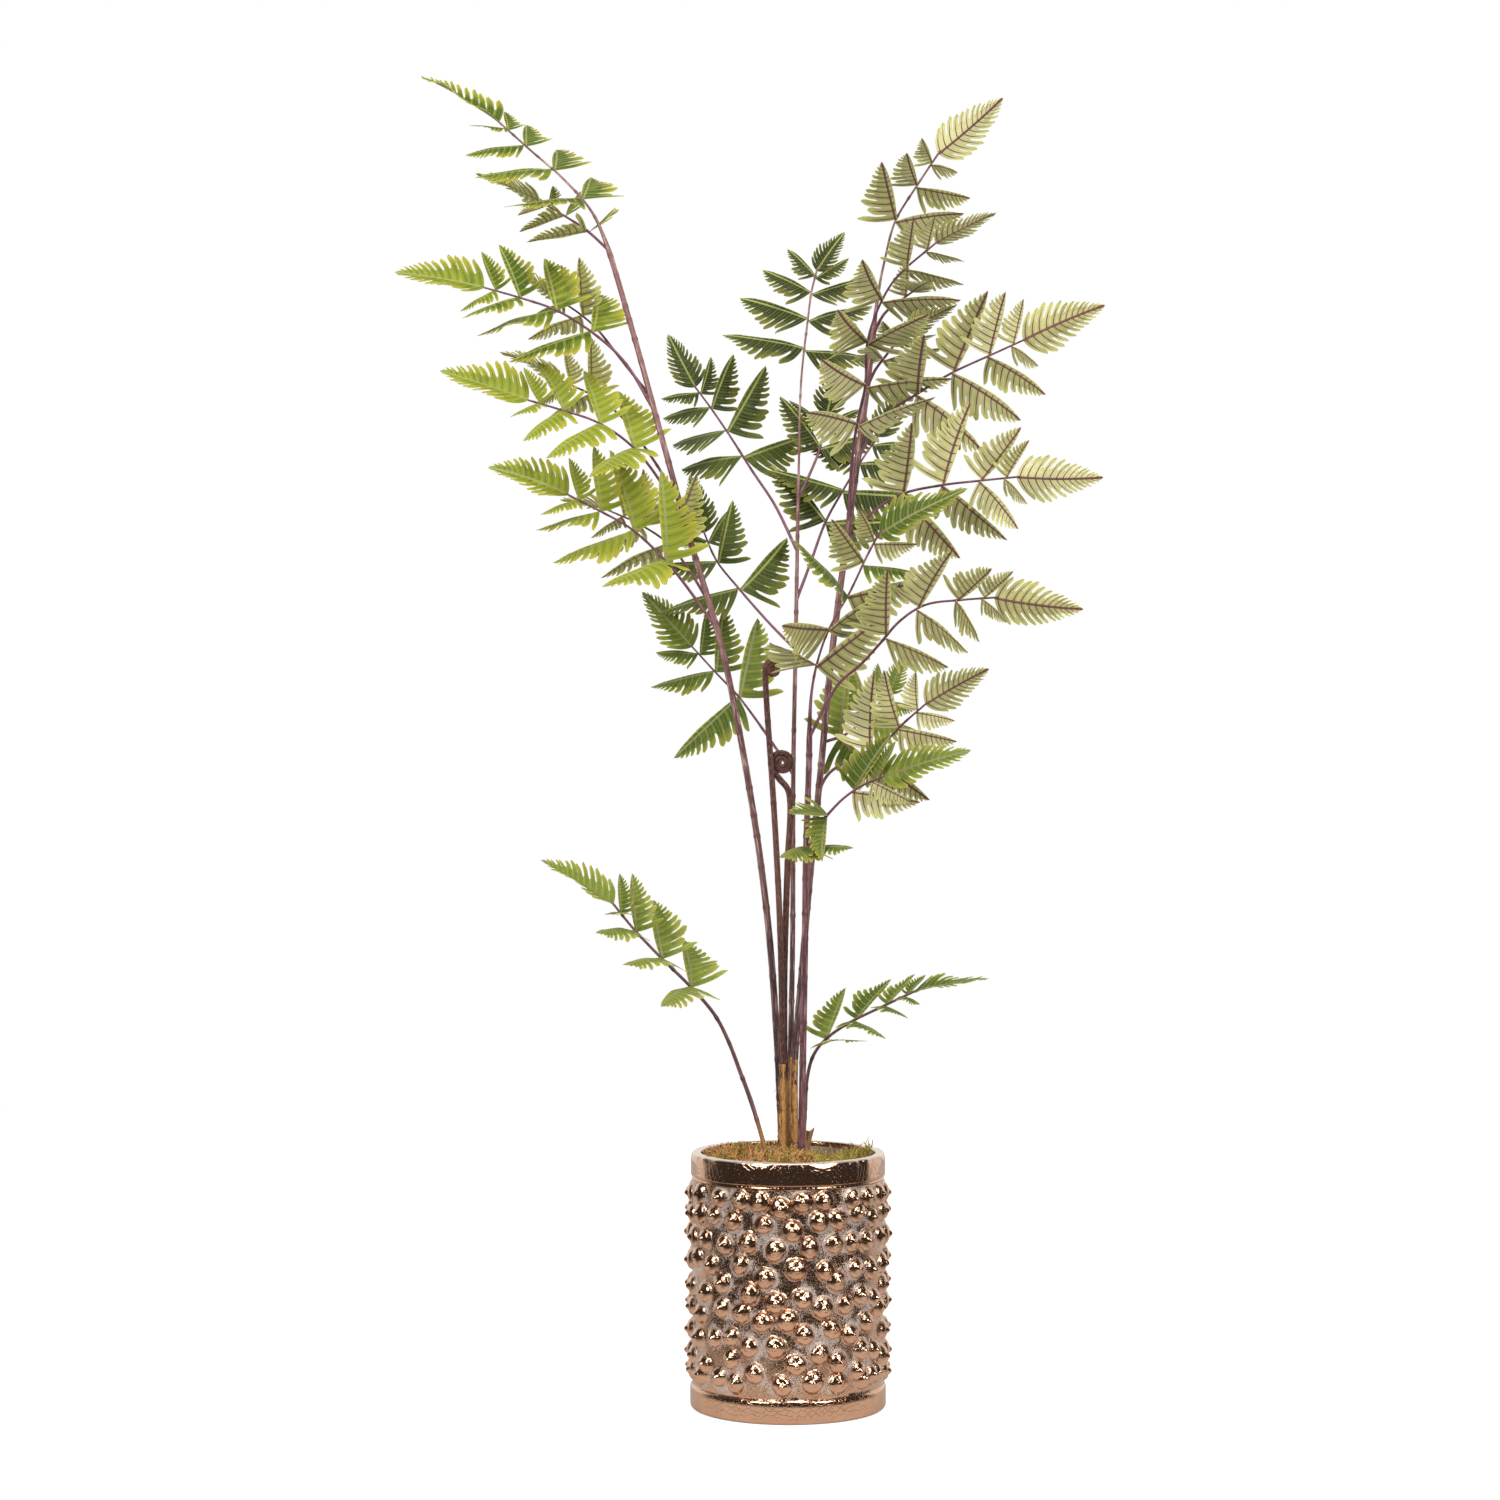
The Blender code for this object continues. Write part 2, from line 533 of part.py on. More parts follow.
def stem_radii(route, plan):
    """Radii that shrink to the tip, with the fibre wound on the foot where there is any."""
    thick, thin = plan["radii"]
    total = len(route) - 1
    radii = []
    for index, point in enumerate(route):
        radius = thick + (thin - thick) * (index / total) ** 1.3
        if plan.get("wrapped", True) and point.z < WRAP_TOP:
            radius = WRAP_RADIUS
        radii.append(radius)
    return radii


def fuse(base, parts):
    """One closed solid from a base and the parts that cross it."""
    bpy.context.scene.collection.objects.link(base)
    group = bpy.data.collections.new(base.name + "_parts")
    bpy.context.scene.collection.children.link(group)
    for part in parts:
        group.objects.link(part)
    union = base.modifiers.new("union", "BOOLEAN")
    union.operation = "UNION"
    union.operand_type = "COLLECTION"
    union.collection = group
    union.solver = "MANIFOLD"
    bpy.context.view_layer.objects.active = base
    with bpy.context.temp_override(object=base, active_object=base, selected_objects=[base]):
        bpy.ops.object.modifier_apply(modifier=union.name)
    for part in parts:
        bpy.data.objects.remove(part, do_unlink=True)
    bpy.data.collections.remove(group)
    return base


def build_frond(name, plan, finish):
    route = stem_route(plan)
    stem = tube(route, stem_radii(route, plan), STEM_SIDES, name, finish)
    parts = crown_parts(route, plan["crown"], name + "_top")
    for index, item in enumerate(plan["branches"]):
        points = [Vector(point) for point in item["route"]]
        path = smooth_route([nearest_on(route, points[0])] + points[1:], BRANCH_STEP)
        total = len(path) - 1
        radii = []
        for place in range(len(path)):
            radii.append(BRANCH_ROOT_RADIUS + (BRANCH_END_RADIUS - BRANCH_ROOT_RADIUS) * place / total)
        label = f"{name}_branch_{index}"
        parts.append(tube(path, radii, BRANCH_SIDES, label))
        parts += crown_parts(path, item["crown"], label)
    return fuse(stem, parts)


def build_fiddlehead(name, plan, finish):
    route = stem_route(plan)
    thick, thin = plan["radii"]
    radii = [WRAP_RADIUS if point.z < WRAP_TOP else thick for point in route]
    turned = math.radians(plan["turned"])
    sideways = Vector((math.cos(turned), math.sin(turned), 0.0))
    centre = Vector(plan["centre"])
    total = round(COIL_POINTS * COIL_TURNS)
    for place in range(1, total + 1):
        share = place / total
        angle = math.radians(COIL_START - 360.0 * COIL_TURNS * share)
        reach = plan["coil"] + (COIL_INNER - plan["coil"]) * share
        route.append(centre + sideways * (reach * math.cos(angle)) + Vector((0, 0, reach * math.sin(angle))))
        radii.append(thin + (COIL_END_RADIUS - thin) * share)
    made = tube(route, radii, STEM_SIDES, name, finish)
    bpy.context.scene.collection.objects.link(made)


def build_stub(finish):
    x, y = STUB_FOOT
    route = [Vector((x, y, FOOT_BOTTOM)), Vector((x, y, FOOT_TOP)), Vector(STUB_TOP)]
    low, high = STUB_RADII
    made = tube(route, [low, low, high], STUB_SIDES, "stub", finish)
    bpy.context.scene.collection.objects.link(made)


def turned_solid(profile, sides, name, finish):
    """A solid turned about Z from a profile that starts and ends on the axis."""
    bm = bmesh.new()
    corners = [bm.verts.new((radius, 0.0, height)) for radius, height in profile]
    edges = [bm.edges.new(pair) for pair in zip(corners, corners[1:])]
    bmesh.ops.spin(
        bm, geom=corners + edges, cent=(0, 0, 0), axis=(0, 0, 1), angle=2 * math.pi, steps=sides,
        use_merge=True, use_duplicate=False)
    bmesh.ops.remove_doubles(bm, verts=bm.verts, dist=0.00001)
    bmesh.ops.recalc_face_normals(bm, faces=bm.faces)
    made = object_from(bm, name, finish)
    bpy.context.scene.collection.objects.link(made)
    return made


def stud_places():
    """Angle from the front and height of each stud: the front ones as given, the rest by a rule."""
    draw = random.Random(7)
    places = []
    for row in FRONT_STUDS:
        places += [(math.radians(angle), height / 1000) for angle, height in row]
        middle = sum(height for _, height in row) / len(row) / 1000
        first = row[-1][0] + STUD_PITCH
        last = row[0][0] + 360.0 - STUD_PITCH
        count = round((last - first) / STUD_PITCH)
        for index in range(count + 1):
            angle = math.radians(first + (last - first) * index / count)
            angle += draw.uniform(-STUD_SHIFT, STUD_SHIFT) / BODY_RADIUS
            places.append((angle, middle + draw.uniform(-STUD_SHIFT, STUD_SHIFT)))
    return places


def build_studs():
    """Each stud as a closed pointed cone, sunk into the wall."""
    studs = []
    for index, (angle, height) in enumerate(stud_places()):
        outward = Vector((math.sin(angle), -math.cos(angle), 0.0))
        sideways = Vector((math.cos(angle), math.sin(angle), 0.0))
        bm = bmesh.new()
        ring = []
        for side in range(STUD_SIDES):
            turn = 2 * math.pi * side / STUD_SIDES
            spot = outward * (BODY_RADIUS - STUD_SINK) + sideways * (STUD_RADIUS * math.cos(turn))
            spot.z = height + STUD_RADIUS * math.sin(turn)
            ring.append(bm.verts.new(spot))
        point = outward * (BODY_RADIUS + STUD_HEIGHT)
        point.z = height
        apex = bm.verts.new(point)
        bm.faces.new(list(reversed(ring)))
        for side in range(STUD_SIDES):
            bm.faces.new((ring[side], ring[(side + 1) % STUD_SIDES], apex))
        studs.append(object_from(bm, f"stud_{index}"))
    return studs


def build_pot(finish):
    rim_foot = POT_HEIGHT - RIM_BAND
    profile = [
        (0.0, 0.0), (BASE_RADIUS - BASE_ROUND, 0.0), (BASE_RADIUS, BASE_ROUND), (BASE_RADIUS, BASE_BAND),
        (BODY_RADIUS, BASE_BAND + BAND_SLOPE), (BODY_RADIUS, rim_foot - BAND_SLOPE), (RIM_RADIUS, rim_foot),
        (RIM_RADIUS, POT_HEIGHT - RIM_ROUND), (RIM_RADIUS - RIM_ROUND, POT_HEIGHT),
        (MOUTH_RADIUS + RIM_ROUND, POT_HEIGHT), (MOUTH_RADIUS, POT_HEIGHT - RIM_ROUND),
        (MOUTH_RADIUS, FLOOR_THICKNESS), (0.0, FLOOR_THICKNESS),
    ]
    pot = turned_solid(profile, POT_SIDES, "pot", finish)
    bpy.context.scene.collection.objects.unlink(pot)
    fuse(pot, build_studs())


def foot_holes():
    """Place and radius of the hole that each stem stands in."""
    holes = []
    for plan in list(FRONDS.values()) + list(FIDDLEHEADS.values()):
        radius = WRAP_RADIUS if plan.get("wrapped", True) else plan["radii"][0]
        holes.append((*plan["foot"], radius))
    holes.append((*STUB_FOOT, STUB_RADII[0]))
    return holes


def drill(target):
    """Cuts the stems' holes down to just under the stems' feet."""
    low = FOOT_BOTTOM - GAP
    high = POT_HEIGHT + RIM_BAND
    bm = bmesh.new()
    for x, y, radius in foot_holes():
        reach = (radius + HOLE_GAP) / math.cos(math.pi / HOLE_SIDES)
        rings = []
        for height in (low, high):
            ring = []
            for side in range(HOLE_SIDES):
                angle = 2 * math.pi * side / HOLE_SIDES
                ring.append(bm.verts.new((x + reach * math.cos(angle), y + reach * math.sin(angle), height)))
            rings.append(ring)
        bm.faces.new(list(reversed(rings[0])))
        bm.faces.new(rings[1])
        for side in range(HOLE_SIDES):
            following = (side + 1) % HOLE_SIDES
            bm.faces.new((rings[0][side], rings[0][following], rings[1][following], rings[1][side]))
    cutter = object_from(bm, target.name + "_holes")
    bpy.context.scene.collection.objects.link(cutter)
    cutter.hide_render = True
    cutter.display_type = "WIRE"
    cut = target.modifiers.new("holes", "BOOLEAN")
    cut.operation = "DIFFERENCE"
    cut.object = cutter
    cut.solver = "EXACT"


def build_filler(finish):
    radius = MOUTH_RADIUS - GAP * 2
    low = FLOOR_THICKNESS + GAP
    profile = [(0.0, low), (radius, low), (radius, FILLER_TOP), (0.0, FILLER_TOP)]
    drill(turned_solid(profile, POT_SIDES, "filler", finish))


def moss_height(x, y):
    """The moss lies in soft tufts and is banked up towards the viewer."""
    bump = math.sin(x * 210.0 + 1.3) * math.sin(y * 190.0) + 0.6 * math.sin(x * 95.0 - y * 120.0)
    bank = max(0.0, -y / MOSS_RADIUS) + 0.4 * max(0.0, x / MOSS_RADIUS)
    return MOSS_TOP + MOSS_BUMP * bump * 0.6 + MOSS_FRONT_RISE * bank


def build_moss(finish):
    bm = bmesh.new()
    low = FILLER_TOP + GAP
    rings = []
    for ring_index in range(1, MOSS_RINGS + 1):
        radius = MOSS_RADIUS * ring_index / MOSS_RINGS
        ring = []
        for side in range(MOSS_SIDES):
            angle = 2 * math.pi * side / MOSS_SIDES
            x = radius * math.cos(angle)
            y = radius * math.sin(angle)
            height = moss_height(x, y)
            if ring_index == MOSS_RINGS:
                height -= MOSS_EDGE_DROP
            ring.append(bm.verts.new((x, y, height)))
        rings.append(ring)
    middle = bm.verts.new((0.0, 0.0, moss_height(0.0, 0.0)))
    under = [bm.verts.new((v.co.x, v.co.y, low)) for v in rings[-1]]
    for side in range(MOSS_SIDES):
        following = (side + 1) % MOSS_SIDES
        bm.faces.new((middle, rings[0][side], rings[0][following]))
        for inner, outer in zip(rings, rings[1:]):
            bm.faces.new((inner[side], outer[side], outer[following]))
            bm.faces.new((inner[side], outer[following], inner[following]))
        bm.faces.new((rings[-1][following], rings[-1][side], under[side], under[following]))
    bm.faces.new(list(reversed(under)))
    moss = object_from(bm, "moss", finish)
    bpy.context.scene.collection.objects.link(moss)
    drill(moss)


def main():
    clear_scene()
    build_pot(material("copper_glaze", (0.55, 0.32, 0.22), 0.25, 0.9))
    build_filler(material("filler_plaster", (0.60, 0.57, 0.52), 0.95))
    build_moss(material("moss_tufts", (0.28, 0.22, 0.05), 0.95))
    greens = {
        "frond_left": (0.16, 0.33, 0.05),
        "frond_back": (0.05, 0.13, 0.03),
        "frond_right": (0.33, 0.38, 0.18),
        "frond_front": (0.22, 0.30, 0.11),
        "frond_low_left": (0.12, 0.24, 0.05),
        "frond_low_right": (0.10, 0.20, 0.05),
    }
    for name, plan in FRONDS.items():
        build_frond(name, plan, material(name + "_plastic", greens[name], 0.55))
    for name, plan in FIDDLEHEADS.items():
        build_fiddlehead(name, plan, material(name + "_plastic", (0.09, 0.045, 0.035), 0.8))
    build_stub(material("stub_wood", (0.32, 0.20, 0.10), 0.9))


main()
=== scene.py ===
import math
import random

import bpy
import numpy
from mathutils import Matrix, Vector, noise


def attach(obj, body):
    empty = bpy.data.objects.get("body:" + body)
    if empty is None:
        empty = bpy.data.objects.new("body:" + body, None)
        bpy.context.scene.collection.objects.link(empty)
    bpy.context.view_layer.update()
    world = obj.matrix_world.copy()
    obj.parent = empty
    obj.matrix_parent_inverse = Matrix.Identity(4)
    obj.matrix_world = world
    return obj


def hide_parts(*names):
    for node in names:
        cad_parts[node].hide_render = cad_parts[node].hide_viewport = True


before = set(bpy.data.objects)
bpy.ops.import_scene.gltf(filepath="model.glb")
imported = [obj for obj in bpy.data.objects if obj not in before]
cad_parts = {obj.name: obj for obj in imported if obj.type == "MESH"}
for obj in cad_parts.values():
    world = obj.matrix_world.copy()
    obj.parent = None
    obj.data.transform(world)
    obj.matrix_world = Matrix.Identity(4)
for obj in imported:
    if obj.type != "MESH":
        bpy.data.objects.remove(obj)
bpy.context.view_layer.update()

# A fern of moulded leaves on wired stems, in a studded pot with a copper lustre glaze.
# Metres, +Z up, the photographed side faces -Y.


def linearColour(code):
    # "#rrggbb" as linear RGBA
    shares = [int(code[place:place + 2], 16) / 255 for place in (1, 3, 5)]
    return tuple(c / 12.92 if c <= 0.04045 else ((c + 0.055) / 1.055) ** 2.4 for c in shares) + (1.0,)


def setInputs(tree, node, inputs):
    # an input takes a value, a "#rrggbb" colour or another node's output
    for place, value in inputs.items():
        if isinstance(value, bpy.types.NodeSocket):
            tree.links.new(value, node.inputs[place])
        else:
            node.inputs[place].default_value = linearColour(value) if isinstance(value, str) else value


def addNode(tree, kind, inputs=None, **settings):
    # Inputs go by number or name. A Map Range has its range in as 1 and 2 and its range out as
    # 3 and 4; a colour mix has its share as 0 and its two colours as 6 and 7.
    node = tree.nodes.new(kind)
    for name, value in settings.items():
        setattr(node, name, value)
    setInputs(tree, node, inputs or {})
    return node


def newMaterial(name):
    material = bpy.data.materials.new(name)
    material.use_nodes = True
    return material, material.node_tree, material.node_tree.nodes["Principled BSDF"]


def addObject(name, data):
    made = bpy.data.objects.new(name, data)
    bpy.context.scene.collection.objects.link(made)
    return made


def deselectAll():
    for thing in list(bpy.context.selected_objects):
        thing.select_set(False)


def selectOnly(things):
    deselectAll()
    for thing in things:
        thing.select_set(True)
    bpy.context.view_layer.objects.active = things[0]


def joinAll(things, name):
    selectOnly(things)
    bpy.ops.object.join()
    joined = bpy.context.view_layer.objects.active
    joined.name = name
    joined.data.name = name
    return joined


def pointsOf(mesh):
    flat = numpy.empty(len(mesh.vertices) * 3)
    mesh.vertices.foreach_get("co", flat)
    return flat.reshape(-1, 3)


def setPoints(mesh, points):
    mesh.vertices.foreach_set("co", numpy.ascontiguousarray(points).ravel())
    mesh.update()


def markFloat(mesh, name, values):
    # one number for each vertex, which the materials read by its name
    made = mesh.attributes.new(name, "FLOAT", "POINT")
    made.data.foreach_set("value", numpy.ascontiguousarray(values, dtype=float))


def triangleCount(piece):
    return sum(len(polygon.vertices) - 2 for polygon in piece.data.polygons)


def keepPiece(piece, nodeNames):
    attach(piece, "root")
    if nodeNames:
        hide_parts(*nodeNames)


# Camera, light and floor
cameraPlan = {"place": (-0.0437, -3.68, 0.7533), "lens": 76.8, "sensor": 36.0, "clip": 60.0}
camera = addObject("camera", bpy.data.cameras.new("camera"))
camera.location = cameraPlan["place"]
camera.rotation_euler = (math.pi / 2, 0.0, 0.0)
camera.data.lens = cameraPlan["lens"]
camera.data.sensor_width = cameraPlan["sensor"]
camera.data.clip_end = cameraPlan["clip"]
bpy.context.scene.camera = camera
bpy.context.scene.view_settings.view_transform = "Standard"

lightPlan = {
    "leftBox": {"place": (-2.0, -2.6, 2.3), "aim": (0.0, 0.0, 0.7), "size": (1.1, 1.9), "power": 66.0},
    "rightBox": {"place": (2.2, -2.2, 2.0), "aim": (0.0, 0.0, 0.7), "size": (0.9, 1.7), "power": 46.0},
    "topBox": {"place": (0.1, -1.1, 3.3), "aim": (0.0, 0.0, 0.8), "size": (1.8, 1.2), "power": 46.0},
}
for name, plan in lightPlan.items():
    lamp = addObject(name, bpy.data.lights.new(name, "AREA"))
    lamp.data.shape = "RECTANGLE"
    lamp.data.size, lamp.data.size_y = plan["size"]
    lamp.data.energy = plan["power"]
    lamp.location = plan["place"]
    lamp.rotation_euler = (Vector(plan["aim"]) - Vector(plan["place"])).to_track_quat("-Z", "Y").to_euler()

# The room: white to the camera, soft white light all round, and in reflections only the backdrop
# behind the plant is white, because the photographer's side of the studio is dark
roomPlan = {"white": "#ffffff", "dim": "#413c39", "strength": 1.0, "fill": 0.62,
            "whiteTo": 0.50, "dimFrom": 0.30}     # how much a direction still points at the backdrop
world = bpy.data.worlds.new("studio")
world.use_nodes = True
bpy.context.scene.world = world
roomTree = world.node_tree
roomTree.nodes.clear()
direction = addNode(roomTree, "ShaderNodeTexCoord")
split = addNode(roomTree, "ShaderNodeSeparateXYZ", {0: direction.outputs["Generated"]})
shade = addNode(roomTree, "ShaderNodeMapRange",
                {0: split.outputs[1], 1: roomPlan["whiteTo"], 2: roomPlan["dimFrom"], 3: 0.0, 4: 1.0},
                interpolation_type="SMOOTHSTEP")
tone = addNode(roomTree, "ShaderNodeMix", {0: shade.outputs[0], 6: roomPlan["white"], 7: roomPlan["dim"]},
               data_type="RGBA")
seen = addNode(roomTree, "ShaderNodeLightPath")
back = addNode(roomTree, "ShaderNodeBackground", {0: tone.outputs[2], 1: roomPlan["strength"]})
fill = addNode(roomTree, "ShaderNodeBackground", {0: roomPlan["white"], 1: roomPlan["fill"]})
plain = addNode(roomTree, "ShaderNodeBackground", {0: roomPlan["white"], 1: roomPlan["strength"]})
mirrored = addNode(roomTree, "ShaderNodeMixShader",
                   {0: seen.outputs["Is Glossy Ray"], 1: fill.outputs[0], 2: back.outputs[0]})
either = addNode(roomTree, "ShaderNodeMixShader",
                 {0: seen.outputs["Is Camera Ray"], 1: mirrored.outputs[0], 2: plain.outputs[0]})
addNode(roomTree, "ShaderNodeOutputWorld", {0: either.outputs[0]})

# The floor: a sheet of white paper that ends not far in front of the pot. The studio falls off
# to dark a short way from the pot, except behind it, and only the glaze shows that: in
# reflections the paper's colour is painted shade, grey near the pot and dark further out.
floorPlan = {"halfWidth": 1.6, "front": -0.50, "back": 3.0, "height": -0.0005, "glow": 0.6,
             "white": "#ffffff", "paper": "#f4f4f4", "near": "#cfc8c2", "far": "#2b2725",
             "fall": (0.22, 0.58), "behind": (0.15, 0.45), "roughness": 0.9}
deselectAll()
bpy.ops.mesh.primitive_plane_add(size=2.0, location=(0.0, 0.0, floorPlan["height"]))
floor = bpy.context.object
floor.name = "floor"
for vertex in floor.data.vertices:
    depth = floorPlan["front"] if vertex.co.y < 0 else floorPlan["back"]
    vertex.co = (vertex.co.x * floorPlan["halfWidth"], depth, 0.0)
paper, tree, shader = newMaterial("whitePaperFloor")
fallStart, fallEnd = floorPlan["fall"]
sideStart, sideEnd = floorPlan["behind"]
spot = addNode(tree, "ShaderNodeTexCoord").outputs["Object"]
away = addNode(tree, "ShaderNodeVectorMath", {0: spot}, operation="LENGTH")
far = addNode(tree, "ShaderNodeMapRange", {0: away.outputs["Value"], 1: fallStart, 2: fallEnd})
aim = addNode(tree, "ShaderNodeVectorMath", {0: spot}, operation="NORMALIZE")
aimed = addNode(tree, "ShaderNodeSeparateXYZ", {0: aim.outputs[0]})
before = addNode(tree, "ShaderNodeMapRange", {0: aimed.outputs[1], 1: sideStart, 2: sideEnd, 3: 1.0, 4: 0.0})
dark = addNode(tree, "ShaderNodeMath", {0: far.outputs[0], 1: before.outputs[0]}, operation="MULTIPLY")
# painted shade for reflections only: the paper greys near the pot and darkens further out
reflectedFloorShade = addNode(tree, "ShaderNodeMix", {0: dark.outputs[0], 6: floorPlan["near"], 7: floorPlan["far"]},
                  data_type="RGBA")
rays = addNode(tree, "ShaderNodeLightPath").outputs
mirrored = addNode(tree, "ShaderNodeMix", {0: rays["Is Glossy Ray"], 6: floorPlan["paper"],
                                           7: reflectedFloorShade.outputs[2]}, data_type="RGBA")
glow = addNode(tree, "ShaderNodeMath", {0: rays["Is Camera Ray"], 1: floorPlan["glow"]},
               operation="MULTIPLY")
setInputs(tree, shader, {"Base Color": mirrored.outputs[2], "Roughness": floorPlan["roughness"],
                         "Specular IOR Level": 0.0, "Emission Color": floorPlan["white"],
                         "Emission Strength": glow.outputs[0]})
floor.data.materials.append(paper)
print("camera, lights and floor are set")

# The plan of the plant. The stems stand in the filler from footBottom up, and footTop is as high
# as the pot's rim.
footBottom = 0.225
footShoulder = 0.288
footTop = 0.292
# the distance of each pair of leaflets from the foot of the end leaf, and their lengths
pairAt = [0.016, 0.046, 0.092, 0.142, 0.190, 0.235]
pairLength = [0.047, 0.071, 0.092, 0.098, 0.098, 0.094]
sideStep = 0.003         # the right leaflet of a pair starts a little lower
endSink = 0.005          # how far the end leaf's foot sinks into the branch
shallowFold = 0.25       # how steeply the two halves of a leaf rise from its midrib
deepFold = 0.60
# ways that the upper side of a leaf faces
faceFront = (0.0, -1.0, 0.25)
faceSlant = (0.0, -0.75, 0.65)
faceHigh = (0.0, -0.55, 0.85)
faceLevel = (0.0, -0.30, 0.95)
faceBack = (0.0, 1.0, 0.25)
faceBackSlant = (0.0, 0.75, 0.65)
faceBackHigh = (0.0, 0.45, 0.90)


def leaves(tip, face, left, right, size=1.0, spacing=1.0, leftFace=None, rightFace=None, fold=shallowFold,
           arch=0.0, light=0.0, top=None):
    # the end leaf and its pairs; left and right hold each leaflet's angle to the branch and
    # its turn about the branch towards the viewer, in degrees, from the end leaf down; light is
    # how much paler than the rest they came out of the press, and top another upper finish
    return {"tip": tip, "face": face, "left": left, "right": right, "size": size, "spacing": spacing,
            "leftFace": leftFace or face, "rightFace": rightFace or face, "fold": fold, "arch": arch,
            "light": light, "top": top}


def branch(route, crown):
    return {"route": route, "crown": crown}


